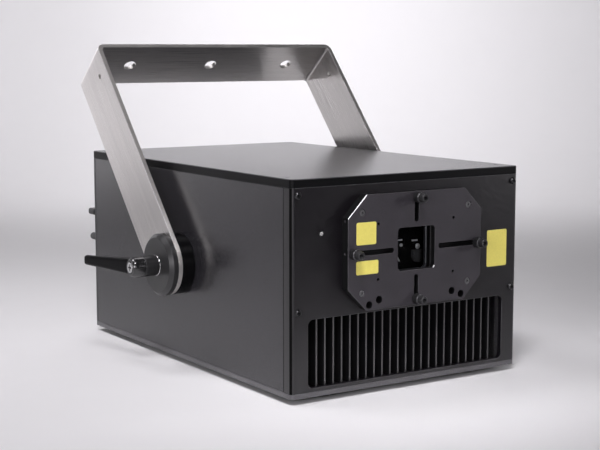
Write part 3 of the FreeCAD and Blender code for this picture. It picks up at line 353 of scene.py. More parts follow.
# Laser bench: bead-blasted laser modules and the boxed power supply on the deck, with small
# coated mirrors on milled mounts that bring the beams into one line, and two circuit boards.
laser_case = finish("laser_case", colour=(0.22, 0.22, 0.235), edge_wear_sheen=(0.45, 0.45, 0.45),
                    rough=(0.45, 0.6), metallic=1.0, grain=2200, bump=0.00002)
coat(laser_case, "red_laser_module", "green_laser_module", "blue_laser_module", "power_supply")
coat(bare_metal, "mirror_mounts")
mirror_coat = finish("mirror_coat", colour=(0.82, 0.85, 0.87), edge_wear_sheen=(0.9, 0.9, 0.9),
                     rough=(0.02, 0.05), metallic=1.0, grain=300, bump=0.0)
coat(mirror_coat, "beam_mirrors")
board_green = finish("board_green", colour=(0.02, 0.13, 0.06), edge_wear_sheen=(0.1, 0.3, 0.15),
                     rough=(0.3, 0.5), grain=420, bump=0.00004)
coat(board_green, "circuit_boards")

# Scanner: a milled block that holds two small motors, each with a light mirror on its shaft.
# It shows through the window, so its edges are broken.
scanner_edge = 0.0004
motor_edge = 0.0003
scanner_black = finish("scanner_black", colour=(0.05, 0.05, 0.053), edge_wear_sheen=(0.3, 0.3, 0.3),
                       rough=(0.3, 0.45), metallic=0.8)
motor_steel = finish("motor_steel", colour=(0.3, 0.3, 0.32), edge_wear_sheen=(0.6, 0.6, 0.6),
                     rough=(0.25, 0.4), metallic=1.0, grain=600)
eased("scanner_block", scanner_edge, scanner_black)
eased("galvo_motors", motor_edge, motor_steel)
coat(mirror_coat, "scan_mirror_x", "scan_mirror_y")

# Scanner bracket: a black sheet in front of the driver board, between the deck and the scanner's
# arm, with two plated strips, two plated screws, a rubber cable clip and a wire's bright end.
bracket_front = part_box("scanner_block")[0].y
bracket_t = 0.002
bracket_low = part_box("scanner_block")[0].z
bracket_tall = 0.0735
bracket_x0 = 0.012
bracket_x1 = 0.07
strip_t = 0.0012
strip_edge = 0.0003
strips = ((0.0162, 0.0242, 0.1692, 0.1707), (0.0388, 0.0476, 0.1669, 0.1689))
strip_screws = ((0.0227, 0.1636, 0.0021), (0.0482, 0.1603, 0.0034))
strip_screw_h = 0.0024
clip_x = 0.0467
clip_r = 0.0085
clip_top = 0.1565
clip_bend = 0.1495
clip_t = 0.006
clip_edge = 0.0022
clip_steps = 16
wire_start = (0.0151, 0.1513)
wire_end = (0.0197, 0.144)
wire_r = 0.0009
# Near black with almost no sheen: painted shade, on the bracket's sheet and on the case's seams, corners and
# window walls.
painted_shade_black = finish("painted_shade_black", colour=(0.003, 0.003, 0.003), edge_wear_sheen=(0.01, 0.01, 0.01),
                    rough=(0.5, 0.6), level=0.05)
strip_plated = finish("strip_plated", colour=(0.75, 0.75, 0.74), edge_wear_sheen=(0.85, 0.85, 0.85),
                      rough=(0.4, 0.5), metallic=0.3)
clip_rubber = finish("clip_rubber", colour=(0.065, 0.065, 0.065), edge_wear_sheen=(0.1, 0.1, 0.1),
                     rough=(0.45, 0.6), level=0.3)
bm = bmesh.new()


def of_material(verts, index):
    """Gives the faces round some vertices of a mesh a material."""
    for vert in verts:
        for face in vert.link_faces:
            face.material_index = index


def box(bm, x0, x1, y0, y1, z0, z1):
    """Adds a box between two corners and returns its vertices."""
    place = Matrix.Translation(((x0 + x1) / 2, (y0 + y1) / 2, (z0 + z1) / 2))
    stretch = Matrix.Diagonal((x1 - x0, y1 - y0, z1 - z0, 1))
    return bmesh.ops.create_cube(bm, size=1, matrix=place @ stretch)["verts"]


box(bm, bracket_x0, bracket_x1, bracket_front, bracket_front + bracket_t, bracket_low,
    bracket_low + bracket_tall)
for x0, x1, z0, z1 in strips:
    of_material(box(bm, x0, x1, bracket_front - strip_t, bracket_front, z0, z1), 1)
soften(bm, strip_edge)
clip_points = [(clip_x - clip_r, clip_top), (clip_x + clip_r, clip_top)]
for i in range(clip_steps + 1):
    angle = math.pi * i / clip_steps
    clip_points.append((clip_x + clip_r * math.cos(angle), clip_bend - clip_r * math.sin(angle)))
outline = [bm.verts.new((x, bracket_front, z)) for x, z in clip_points]
clip_back = bm.faces.new(outline)
made = bmesh.ops.extrude_face_region(bm, geom=[clip_back])
clip_front = [v for v in made["geom"] if isinstance(v, bmesh.types.BMVert)]
bmesh.ops.translate(bm, vec=(0, -clip_t, 0), verts=clip_front)
of_material(outline + clip_front, 2)
bmesh.ops.recalc_face_normals(bm, faces=bm.faces)
clip_rim = [e for e in bm.edges if e.verts[0] in clip_front and e.verts[1] in clip_front]
bmesh.ops.bevel(bm, geom=clip_rim, offset=clip_edge, segments=4, profile=0.5, affect="EDGES",
                material=-1)
for x, z, head_r in strip_screws:
    head = turned(bm, [(0, 0), (0, head_r), (0.4 * strip_screw_h, head_r),
                       (0.8 * strip_screw_h, 0.75 * head_r), (strip_screw_h, 0.45 * head_r),
                       (0.5 * strip_screw_h, 0.4 * head_r), (0.5 * strip_screw_h, 0)],
                  (x, bracket_front, z), (0, -1, 0), steps=32)
    of_material(head, 1)
start = Vector((wire_start[0], bracket_front - wire_r, wire_start[1]))
run = Vector((wire_end[0], bracket_front - wire_r, wire_end[1])) - start
wire = turned(bm, [(0, 0), (0, wire_r), (run.length, wire_r), (run.length, 0)], start, run, steps=12)
of_material(wire, 1)
piece("scanner_bracket", bm, [painted_shade_black, strip_plated, clip_rubber], "scanner_block", stands=False)

# Case panels: aluminium plates anodised black, sides between front and rear, screwed to the corner posts. The
# eased edges leave a fine groove along every seam, painted near black as painted shade, and the front's rounded
# corners are painted shade as well.
panel_edge = 0.0004
seam_edge = 0.0009
seam_turn = (0.02, 0.98)
hole_reach = 0.035
hole_turn = -0.3
corner_reach = 0.006
corner_turn = (0.6, 0.98)
side_black = finish("side_black", colour=(0.019, 0.018, 0.021), edge_wear_sheen=(0.14, 0.14, 0.145),
                    rough=(0.21, 0.29), grain=1500, level=0.68)
# The front panel is painted much darker than the side panels: painted shade.
front_painted_shade_black = finish("front_painted_shade_black", colour=(0.0035, 0.0025, 0.004), edge_wear_sheen=(0.12, 0.12, 0.125),
                     rough=(0.28, 0.42), grain=520, level=0.8)
for panel in ("left_side_panel", "right_side_panel"):
    bm = copied(panel)
    soften(bm, seam_edge, edge_wear_sheen=0.0)
    for face in bm.faces:
        face.material_index = int(seam_turn[0] < abs(face.normal.y) < seam_turn[1])
    piece(panel + "_eased", bm, [side_black, painted_shade_black], panel)
eased("rear_panel", panel_edge, case_black)
bm = copied("front_panel")
soften(bm, panel_edge)
corner_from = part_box("front_panel")[1].x - corner_reach
window_at = (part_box("window_glass")[0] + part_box("window_glass")[1]) / 2
# The walls round the window and the front's rounded corners are painted near black: painted shade.
for face in bm.faces:
    place = face.calc_center_median() - window_at
    in_hole = max(abs(place.x), abs(place.z)) < hole_reach and face.normal.y > hole_turn
    half_turned = corner_turn[0] < abs(face.normal.x) < corner_turn[1] and face.normal.y < 0
    face.material_index = int(in_hole or (half_turned and abs(place.x) > corner_from))
piece("front_panel_eased", bm, [front_painted_shade_black, painted_shade_black], "front_panel")
lid_black = finish("lid_black", colour=(0.022, 0.021, 0.024), edge_wear_sheen=(0.14, 0.14, 0.145),
                   rough=(0.2, 0.27), grain=1500)
# The lid's edge faces are painted near black with little sheen: painted shade.
lid_side_painted_shade = finish("lid_side_painted_shade", colour=(0.004, 0.004, 0.0045), edge_wear_sheen=(0.05, 0.05, 0.05),
                  rough=(0.35, 0.45), level=0.12)
bm = copied("top_lid")
soften(bm, panel_edge)
for face in bm.faces:
    face.material_index = int(abs(face.normal.z) < side_tilt)
piece("top_lid_eased", bm, [lid_black, lid_side_painted_shade], "top_lid")

# Window: a coated glass plate behind the front panel, pressed to it by a milled frame. Lamps and
# soft light pass straight through the glass, so that the scanner behind it is lit.
frame_edge = 0.0009
glass_ior = 1.12
glass_rough = 0.05
glass_marks = 60
eased("window_frame", frame_edge, scanner_black)


def let_through(tree, shader, share):
    """Mixes a clear shader into a material by a share, to let light or sight through."""
    clear = tree.nodes.new("ShaderNodeBsdfTransparent")
    mix = tree.nodes.new("ShaderNodeMixShader")
    tree.links.new(share, mix.inputs["Fac"])
    tree.links.new(shader.outputs["BSDF"], mix.inputs[1])
    tree.links.new(clear.outputs["BSDF"], mix.inputs[2])
    tree.links.new(mix.outputs["Shader"], tree.nodes["Material Output"].inputs["Surface"])


window_glass, tree, shader = plain_material("window_glass_clear")
shader.inputs["Base Color"].default_value = (0.93, 0.96, 1.0, 1)
shader.inputs["Transmission Weight"].default_value = 1.0
shader.inputs["IOR"].default_value = glass_ior
surface = grained(tree, glass_marks)
tree.links.new(spread(tree, surface.outputs["Grain"], 0.0, glass_rough), shader.inputs["Roughness"])
rays = tree.nodes.new("ShaderNodeLightPath")
soft_rays = reckoned(tree, "MAXIMUM", rays.outputs["Is Shadow Ray"], rays.outputs["Is Diffuse Ray"])
let_through(tree, shader, soft_rays)
coat(window_glass, "window_glass")

# Mask plate: a thick octagonal aluminium plate, anodised black and bolted to the front panel.
# Thin blades slide in its hollow back, and socket screws are sunk into its corners.
mask_black = finish("mask_black", colour=(0.028, 0.025, 0.03), edge_wear_sheen=(0.4, 0.4, 0.4),
                    rough=(0.4, 0.6), grain=520)
# The plate's side faces, and the blades behind it, are painted near black with little sheen: painted shade.
mask_side_painted_shade = finish("mask_side_painted_shade", colour=(0.006, 0.006, 0.0065), edge_wear_sheen=(0.05, 0.05, 0.05),
                   rough=(0.4, 0.55), level=0.15)
mask_low, mask_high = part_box("mask_plate")
mask_middle = (mask_low + mask_high) / 2
mask_half_t = (mask_high.y - mask_low.y) / 2
mask_edge = 0.0005
mask_wear_sheen = 0.15
mask_turn = -0.3
blade_edge = 0.0002
# Painted glints: pale metal on slanted edges at the plate's upper left and at a lower corner of its window, where
# light glints.
glint_width = 0.0008
glint_least = 0.01
glint_slant = 0.35
glint_slot = 2
glint_outer = (-0.05, 0.02)
glint_inner_x = (0.012, 0.04)
glint_inner_z = (-0.04, -0.015)
bm = copied("mask_plate")
glint_edges = []
for edge in bm.edges:
    run = edge.verts[1].co - edge.verts[0].co
    place = (edge.verts[0].co + edge.verts[1].co) / 2 - mask_middle
    slanted = min(abs(run.x), abs(run.z)) > glint_slant * run.length
    outer_corner = place.x < glint_outer[0] and place.z > glint_outer[1] and run.length > glint_least
    inner_corner = (glint_inner_x[0] < place.x < glint_inner_x[1]
                    and glint_inner_z[0] < place.z < glint_inner_z[1])
    if slanted and place.y < -mask_half_t + weld and (outer_corner or inner_corner):
        glint_edges.append(edge)
made = bmesh.ops.bevel(bm, geom=glint_edges, offset=glint_width, segments=2, profile=0.5, affect="EDGES",
                       material=-1)
for face in made["faces"]:
    face.material_index = glint_slot
soften(bm, mask_edge, edge_wear_sheen=mask_wear_sheen)
for face in bm.faces:
    if face.material_index != glint_slot:
        face.material_index = int(face.normal.y > mask_turn)
painted_glint_metal = finish("painted_glint_metal", colour=(0.7, 0.7, 0.7), edge_wear_sheen=(0.8, 0.8, 0.8), rough=(0.45, 0.6),
                    metallic=0.4, grain=90)
piece("mask_plate_eased", bm, [mask_black, mask_side_painted_shade, painted_glint_metal], "mask_plate")
for side in ("left", "right", "top", "bottom"):
    eased("mask_blade_" + side, blade_edge, mask_side_painted_shade)
mask_screw_head = 0.004
mask_screw_shank = 0.002
mask_screw_key = 0.003
mask_screw_dome = 0.15


def hexed(key):
    """Presses the circle of a hexagon socket's radius out to the hexagon's flats."""
    def press(height, radius, angle):
        if abs(radius - key / 2) > weld / 2:
            return radius
        return radius / math.cos((angle + math.pi / 6) % (math.pi / 3) - math.pi / 6)
    return press


def socket_screw(bm, at, outward, head_r, head_h, shank_r, shank_l, key, dome):
    """Adds a screw with a hexagon socket, its head standing on a place and domed by a share."""
    turned(bm, [(-shank_l, 0), (-shank_l, shank_r), (0, shank_r), (0, head_r),
                (head_h * (1 - dome), head_r), (head_h * (1 - 0.3 * dome), head_r * (1 - 0.25 * dome)),
                (head_h, head_r * (1 - 0.45 * dome)), (head_h, key / 2 * 1.3), (head_h, key / 2),
                (head_h * 0.4, key / 2), (head_h * 0.35, 0)],
           at, outward, steps=48, press=hexed(key))


screw_black = finish("screw_black", colour=(0.06, 0.06, 0.062), edge_wear_sheen=(0.3, 0.3, 0.3),
                     rough=(0.25, 0.4), metallic=0.9, grain=1800)
bm = bmesh.new()
for low, high, middle in solids_of("mask_plate_screws"):
    seat = low.y + mask_screw_head
    socket_screw(bm, (middle.x, seat, middle.z), (0, -1, 0), high.x - middle.x, mask_screw_head,
                 mask_screw_shank, high.y - seat, mask_screw_key, mask_screw_dome)
# The sunk screws are painted lighter than the case's screws: painted light on heads that sit in the shade of the
# counterbores.
mask_screw_painted_light = finish("mask_screw_painted_light", colour=(0.2, 0.2, 0.205), edge_wear_sheen=(0.4, 0.4, 0.4),
                         rough=(0.3, 0.42), metallic=0.8, grain=1800)
piece("mask_plate_socket_screws", bm, [mask_screw_painted_light], "mask_plate_screws")

# Mask knobs: turned steel thumb knobs with a knurled collar and a knurled socket head, blackened.
# Each one clamps its blade to the plate from the front.
# The knob heads are painted lighter as painted light, and the collars near black as painted shade.
knob_black = finish("knob_black", colour=(0.075, 0.075, 0.078), edge_wear_sheen=(0.2, 0.2, 0.205),
                    rough=(0.28, 0.42), metallic=0.7, grain=1600)
collar_painted_shade = finish("collar_painted_shade", colour=(0.016, 0.016, 0.017), edge_wear_sheen=(0.1, 0.1, 0.1),
                      rough=(0.32, 0.45), metallic=0.2, grain=1600)
knob_bore_r = 0.0021
knob_collar = 0.009
knob_head_in = 0.0015
knob_key = 0.005
knob_key_depth = 0.004
knob_ease = 0.0006
knob_flutes = 30
knob_flute_depth = 0.00028


def as_is(height, radius, angle):
    """Leaves a point's radius alone."""
    return radius


def fluted(count, depth, inner, also=as_is, twist=0.0):
    """Presses straight or slanted flutes into everything outside a radius."""
    def press(height, radius, angle):
        if radius < inner:
            return also(height, radius, angle)
        return radius - depth * (0.5 + 0.5 * math.cos(count * (angle + twist * height)))
    return press


for side in ("left", "right", "top", "bottom"):
    node = "mask_knob_" + side
    low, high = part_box(node)
    middle = (low + high) / 2
    knob_r = high.x - middle.x
    head_r = knob_r - knob_head_in
    tall = high.y - low.y
    bm = bmesh.new()
    turned(bm, [(0, knob_bore_r), (0, knob_r - 2 * knob_ease), (knob_ease, knob_r),
                (knob_collar - knob_ease, knob_r), (knob_collar, knob_r - knob_ease),
                (knob_collar, head_r), (tall - knob_ease, head_r), (tall, head_r - knob_ease),
                (tall, head_r - 2 * knob_ease), (tall, knob_key / 2),
                (tall - knob_key_depth, knob_key / 2),
                (tall - knob_key_depth - knob_ease, knob_bore_r)],
           (middle.x, high.y, middle.z), (0, -1, 0), steps=4 * knob_flutes, closed=True,
           press=fluted(knob_flutes, knob_flute_depth, head_r - knob_ease / 2, hexed(knob_key)))
    for face in bm.faces:
        face.material_index = int(high.y - face.calc_center_median().y < knob_collar - knob_ease)
    piece(node + "_knurled", bm, [knob_black, collar_painted_shade], node)

# Emission light: a small milky lens in a dark metal collar, pressed into the front panel from
# the front, with its body behind.
led_lens = finish("led_lens", colour=(0.42, 0.42, 0.41), edge_wear_sheen=(0.8, 0.8, 0.8), rough=(0.15, 0.25),
                  grain=500, bump=0.0, coat=0.5)
low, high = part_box("emission_led")
middle = (low + high) / 2
collar_r = high.x - middle.x
collar_t = 0.0012
lens_r = 0.0022
light_body_r = 0.0028
body_back = low.y - high.y + collar_t
bm = bmesh.new()
turned(bm, [(body_back, 0), (body_back, light_body_r), (0, light_body_r), (0, collar_r),
            (0.7 * collar_t, collar_r), (collar_t, 0.8 * collar_r), (0.8 * collar_t, lens_r),
            (collar_t, 0.8 * lens_r), (1.25 * collar_t, 0.4 * lens_r), (1.3 * collar_t, 0)],
       (middle.x, low.y + collar_t, middle.z), (0, -1, 0), steps=32)
for face in bm.faces:
    place = face.calc_center_median()
    in_lens = math.hypot(place.x - middle.x, place.z - middle.z) < lens_r
    face.material_index = int(in_lens and place.y < low.y + 0.3 * collar_t)
piece("emission_light", bm, [screw_black, led_lens], "emission_led")

# Stickers: plain yellow labels of thin vinyl with round corners, cut to size and stuck on the
# mask plate and the front panel.
sticker_yellow = finish("sticker_yellow", colour=(0.8, 0.71, 0.16), edge_wear_sheen=(0.9, 0.86, 0.42),
                        rough=(0.3, 0.42), grain=500, bump=0.000004, vary=0.05)
sticker_t = 0.0002
sticker_corner = 0.0022
sticker_ease = 0.00007
mask_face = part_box("mask_plate")[0].y
panel_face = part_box("front_panel")[0].y
stickers = (("sticker_upper", -0.0868, -0.0588, 0.1785, 0.2045, mask_face),
            ("sticker_lower", -0.087, -0.0555, 0.1442, 0.16, mask_face),
            ("sticker_right", 0.1186, 0.1503, 0.1344, 0.1796, panel_face))
for name, x0, x1, z0, z1, face_y in stickers:
    bm = bmesh.new()
    corners = [bm.verts.new((x, face_y, z)) for x, z in ((x0, z0), (x1, z0), (x1, z1), (x0, z1))]
    bm.faces.new(corners)
    bmesh.ops.bevel(bm, geom=corners, offset=sticker_corner, segments=6, profile=0.5, affect="VERTICES",
                    material=-1)
    made = bmesh.ops.extrude_face_region(bm, geom=bm.faces[:])
    bmesh.ops.translate(bm, vec=(0, -sticker_t, 0),
                        verts=[v for v in made["geom"] if isinstance(v, bmesh.types.BMVert)])
    bmesh.ops.recalc_face_normals(bm, faces=bm.faces)
    soften(bm, sticker_ease, 1)
    piece(name, bm, [sticker_yellow], "front_panel", stands=False)

# Fans: two moulded axial fans screwed on behind the rear panel, each with a rotor that turns on
# its hub, under a guard of welded wire rings with a lug at each screw.
fan_plastic = finish("fan_plastic", colour=(0.02, 0.02, 0.021), edge_wear_sheen=(0.05, 0.05, 0.05),
                     rough=(0.4, 0.55), grain=800, bump=0.00002)
guard_black = finish("guard_black", colour=(0.03, 0.03, 0.031), edge_wear_sheen=(0.1, 0.1, 0.1),
                     rough=(0.3, 0.4), grain=700, coat=0.3)
fan_edge = 0.0005
rotor_edge = 0.0003
guard_rings = 4
guard_first = 0.012
guard_past_lug = 0.00325
guard_lug_r = 0.0042
guard_lug_in = 0.005
ring_sides = 10
eased("fan_frames", fan_edge, fan_plastic)
for side in ("left", "right"):
    eased("fan_rotor_" + side, rotor_edge, fan_plastic)


def ring(bm, at, radius, thick_r):
    """Adds one ring of round wire in front of a fan."""
    section = [math.tau * i / ring_sides for i in range(ring_sides)]
    turned(bm, [(thick_r * math.sin(t), radius + thick_r * math.cos(t)) for t in section], at, (0, 1, 0),
           steps=56, closed=True)


bm = bmesh.new()
for low, high, middle in solids_of("fan_guards"):
    wire_r = (high.y - low.y) / 2
    lug_at = high.x - middle.x - guard_lug_in
    last = lug_at + guard_past_lug
    for i in range(guard_rings):
        ring(bm, middle, guard_first + (last - guard_first) * i / (guard_rings - 1), wire_r)
    for dx in (-1, 1):
        for dz in (-1, 1):
            lug = Vector((middle.x + dx * lug_at, middle.y, middle.z + dz * lug_at))
            ring(bm, lug, guard_lug_r, wire_r)
            start = middle + guard_first * Vector((dx, 0, dz)) / math.sqrt(2)
            run = lug - start
            reach = run.length - guard_lug_r
            turned(bm, [(0, 0), (0, wire_r), (reach, wire_r), (reach, 0)], start, run, steps=ring_sides)
piece("fan_guards_wire", bm, [guard_black], "fan_guards")

# Mains inlet: a moulded flange inlet with three brass pins in its well, screwed to the rear panel,
# and a glossy red rocker that tips above them.
socket_plastic = finish("socket_plastic", colour=(0.018, 0.018, 0.019), edge_wear_sheen=(0.05, 0.05, 0.05),
                        rough=(0.35, 0.5), bump=0.00002)
pin_brass = finish("pin_brass", colour=(0.62, 0.5, 0.25), edge_wear_sheen=(0.8, 0.7, 0.45), rough=(0.2, 0.35),
                   metallic=1.0, grain=800)


def plated(bm, places, reach, y0, y1):
    """Gives the pins at some places of a moulded socket their own metal."""
    for face in bm.faces:
        at = face.calc_center_median()
        for x, z in places:
            if y0 < at.y < y1 and abs(at.x - x) < reach and abs(at.z - z) < 2 * reach:
                face.material_index = 1


low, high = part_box("mains_inlet")
middle = (low + high) / 2
inlet_edge = 0.0003
inlet_drop = 0.013
inlet_pin_gap = 0.007
inlet_pin_reach = 0.0012
inlet_earth_up = 0.004
inlet_well = 0.0149
pin_end = 0.0005
rocker_edge = 0.0006
bm = copied("mains_inlet")
soften(bm, inlet_edge)
pin_z = middle.z - inlet_drop
plated(bm, [(middle.x - inlet_pin_gap, pin_z), (middle.x + inlet_pin_gap, pin_z),
            (middle.x, pin_z + inlet_earth_up)], inlet_pin_reach, high.y - inlet_well,
       high.y - pin_end)
piece("mains_inlet_moulded", bm, [socket_plastic, pin_brass], "mains_inlet")
rocker_red = finish("rocker_red", colour=(0.42, 0.02, 0.015), edge_wear_sheen=(0.55, 0.08, 0.06),
                    rough=(0.15, 0.25), grain=600, coat=0.4)
eased("power_switch_rocker", rocker_edge, rocker_red, 3)

# Key switch: a plated steel barrel held in the rear panel by a nut, and its key, whose bow is
# moulded black.
barrel_edge = 0.0004
key_edge = 0.0012
plated_steel = finish("plated_steel", colour=(0.55, 0.55, 0.55), edge_wear_sheen=(0.75, 0.75, 0.75),
                      rough=(0.2, 0.35), metallic=1.0)
eased("key_switch_barrel", barrel_edge, plated_steel)
eased("switch_key", key_edge, socket_plastic, 3)

# Control panel: a moulded bezel pressed into the rear panel, with a dark glass over its display
# and a knurled knob on a shaft for the menu.
display_dark = finish("display_dark", colour=(0.01, 0.014, 0.02), edge_wear_sheen=(0.03, 0.04, 0.05),
                      rough=(0.04, 0.1), grain=200, bump=0.0, coat=0.6)
bezel_edge = 0.0005
display_edge = 0.0002
eased("control_panel", bezel_edge, socket_plastic)
eased("display_glass", display_edge, display_dark)
low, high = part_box("menu_knob")
middle = (low + high) / 2
menu_r = high.x - middle.x
menu_shaft_r = 0.003
menu_l = 0.019
menu_ease = 0.0007
menu_flutes = 24
menu_flute_depth = 0.0003
shaft_end = low.y - high.y + menu_l
bm = bmesh.new()
turned(bm, [(shaft_end, 0), (shaft_end, menu_shaft_r), (0, menu_shaft_r), (0, menu_r - menu_ease),
            (menu_ease, menu_r), (menu_l - menu_ease, menu_r), (menu_l, menu_r - menu_ease),
            (menu_l, 0)],
       (middle.x, high.y - menu_l, middle.z), (0, 1, 0), steps=4 * menu_flutes,
       press=fluted(menu_flutes, menu_flute_depth, menu_r - menu_ease / 2))
piece("menu_knob_knurled", bm, [socket_plastic], "menu_knob")

# Data sockets: two flat multi-pin sockets with two rows of contacts, round sockets with three
# contacts in a black insert, and a round input whose pins stand in a well.
contact_gold = finish("contact_gold", colour=(0.75, 0.56, 0.22), edge_wear_sheen=(0.85, 0.7, 0.4),
                      rough=(0.2, 0.3), metallic=1.0)
socket_edge = 0.0003
flat_socket_least = 0.04
contact_out = 0.0003
contact_r = 0.0006
contact_pitch = 0.00277
contact_rows = ((0.0014, 13), (-0.0014, 12))
insert_r = 0.0094
insert_wall = 0.001
insert_out = 0.0004
round_contact = 0.005
round_contact_r = 0.0018
round_contact_bore = 0.0013
round_pin_reach = 0.0014
round_well = 0.0109
eased("data_sockets", socket_edge, plated_steel)
bm = bmesh.new()
for low, high, middle in solids_of("data_sockets"):
    face_y = high.y
    if high.x - low.x > flat_socket_least:
        for row_z, count in contact_rows:
            for i in range(count):
                x = middle.x + (i - (count - 1) / 2) * contact_pitch
                turned(bm, [(-contact_out, 0), (-contact_out, contact_r), (contact_out, contact_r),
                            (contact_out, 0)], (x, face_y, middle.z + row_z), (0, 1, 0), steps=10)
    else:
        turned(bm, [(0, insert_r), (insert_out, insert_r), (2 * insert_out, insert_r - insert_wall / 2),
                    (insert_out, insert_r - insert_wall), (0, insert_r - insert_wall)],
               (middle.x, face_y, middle.z), (0, 1, 0), closed=True)
        for dx, dz in ((-round_contact, 0), (round_contact, 0), (0, -round_contact)):
            turned(bm, [(0, round_contact_r), (insert_out, round_contact_r),
                        (insert_out, round_contact_bore), (0, round_contact_bore)],
                   (middle.x + dx, face_y, middle.z + dz), (0, 1, 0), steps=20, closed=True)
piece("data_socket_contacts", bm, [contact_gold], "data_sockets", stands=False)
low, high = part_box("dmx_input_socket")
middle = (low + high) / 2
bm = copied("dmx_input_socket")
soften(bm, socket_edge)
plated(bm, [(middle.x - round_contact, middle.z), (middle.x + round_contact, middle.z),
            (middle.x, middle.z - round_contact)], round_pin_reach, high.y - round_well,
       high.y - pin_end)
piece("dmx_input_moulded", bm, [socket_plastic, contact_gold], "dmx_input_socket")

# Screws of the case: button heads on the front, rear and fans, and flush countersunk screws in
# the lid, the base plate and the feet, all of blackened steel.
button_head = 0.0028
button_shank = 0.0025
button_key = 0.003
button_dome = 0.8
sunk_edge = 0.00015
bm = bmesh.new()
for low, high, middle in solids_of("panel_screws"):
    outward = -1 if middle.y < 0 else 1
    tip, seat = (high.y, low.y + button_head) if outward < 0 else (low.y, high.y - button_head)
    socket_screw(bm, (middle.x, seat, middle.z), (0, outward, 0), high.x - middle.x, button_head,
                 button_shank, abs(tip - seat), button_key, button_dome)
piece("panel_button_screws", bm, [screw_black], "panel_screws")
eased("countersunk_screws", sunk_edge, screw_black)

# Pivot bosses: turned aluminium spacers, anodised black, between the case and the yoke. The
# steel studs that carry the yoke come out through them.
# The bosses are painted near black with little sheen: painted shade between the case and the yoke.
clamp_black = finish("clamp_black", colour=(0.003, 0.003, 0.0033), edge_wear_sheen=(0.03, 0.03, 0.03),
                     rough=(0.25, 0.35), grain=1500, level=0.1)
bright_steel = finish("bright_steel", colour=(0.62, 0.62, 0.62), edge_wear_sheen=(0.8, 0.8, 0.8),
                      rough=(0.18, 0.3), metallic=1.0)
coat(bright_steel, "pivot_studs")
bore_r = 0.0062
turned_edge = 0.0006
turned_ease = 0.0003


def sleeves(node, material, chamfer):
    """Stands two turned rings for the pair of solids of a node on the pivot axis."""
    bm = bmesh.new()
    for low, high, middle in solids_of(node):
        outward = math.copysign(1, middle.x)
        radius = high.z - middle.z
        length = high.x - low.x
        start = low.x if outward > 0 else high.x
        turned(bm, [(0, bore_r), (0, radius - turned_edge), (turned_edge, radius),
                    (length - chamfer, radius), (length, radius - chamfer), (length, bore_r)],
               (start, middle.y, middle.z), (outward, 0, 0), steps=128, closed=True)
    soften(bm, turned_ease)
    return piece(node + "_turned", bm, [material], node)


sleeves("pivot_bosses", clamp_black, turned_edge)

# Yoke: one strip of stainless steel bent into a U and leaned back, brushed along its length,
# with three hanging holes in the bar and a hole for a safety cable in each arm.
pivot = Vector(next(j for j in frame["joints"] if j["name"] == "yoke_tilt")["pos_m"])
hang_hole = next(m for m in frame["record"]["mounts"] if m["name"] == "hang_hole_middle")
along_arm = Vector(hang_hole["axis"])
across_arm = Vector((1, 0, 0)).cross(along_arm)
bar_reach = 0.015
bar_level = (Vector(hang_hole["pos_m"]) - pivot).length - bar_reach
yoke_edge = 0.0005
yoke_tones = (0.72, 0.78)
yoke_warmth = (1, 0.97, 0.945)
yoke_rough = (0.26, 0.34)
brush_depth = 0.000004
arm_turn = 0.7
cut_turn = 0.6
end_turn = 0.4
yoke_steel, tree, shader = plain_material("yoke_steel")
shader.inputs["Metallic"].default_value = 1.0
shader.inputs["Anisotropic"].default_value = 0.75
shader.inputs["Anisotropic Rotation"].default_value = 0.25
unrolled = tree.nodes.new("ShaderNodeUVMap")
unrolled.uv_map = "along"


def streaks(along, across, detail):
    """Noise drawn out along the strip, with a number of marks per metre each way."""
    mapping = tree.nodes.new("ShaderNodeMapping")
    mapping.inputs["Scale"].default_value = (along, across, 1)
    tree.links.new(unrolled.outputs["UV"], mapping.inputs["Vector"])
    return noise(tree, 1, detail, mapping.outputs["Vector"]).outputs["Fac"]


hairlines = streaks(9, 2600, 3)
bands = streaks(2.5, 160, 3)
tones = [[share * tone for share in yoke_warmth] for tone in yoke_tones]
tree.links.new(toned(tree, bands, noise_range, tones), shader.inputs["Base Color"])
tree.links.new(spread(tree, hairlines, *yoke_rough), shader.inputs["Roughness"])
raised(tree, shader, hairlines, brush_depth)
brush_way = tree.nodes.new("ShaderNodeTangent")
brush_way.direction_type = "UV_MAP"
brush_way.uv_map = "along"
tree.links.new(brush_way.outputs["Tangent"], shader.inputs["Tangent"])
bm = copied("yoke_bracket")
soften(bm, yoke_edge)
unroll = bm.loops.layers.uv.new("along")
for face in bm.faces:
    level = (face.calc_center_median() - pivot).dot(along_arm)
    on_arm = abs(face.normal.x) > arm_turn or level < bar_level
    for corner in face.loops:
        place = corner.vert.co - pivot
        along = place.dot(along_arm) if on_arm else place.x
        corner[unroll].uv = (along, place.dot(across_arm) + place.x / 2 * on_arm)
    cut_side = abs(face.normal.dot(across_arm)) > cut_turn
    round_end = on_arm and abs(face.normal.x) < end_turn
    face.material_index = int(cut_side or round_end)
yoke_cut = finish("yoke_cut", colour=(0.78, 0.76, 0.73), edge_wear_sheen=(0.85, 0.85, 0.85), rough=(0.4, 0.55),
                  metallic=1.0, grain=1200)
piece("yoke_brushed", bm, [yoke_steel, yoke_cut], "yoke_bracket")

# Clamp discs: turned black discs with a wide bevel against the outside of the yoke, and a
# bright washer under each lever.
disc_bevel = 0.0047
washer_edge = 0.0004
disc_black = finish("disc_black", colour=(0.017, 0.017, 0.0175), edge_wear_sheen=(0.16, 0.16, 0.165),
                    rough=(0.34, 0.44), grain=1500, level=0.6)
sleeves("clamp_discs", disc_black, disc_bevel)
sleeves("lever_washers", bright_steel, washer_edge)

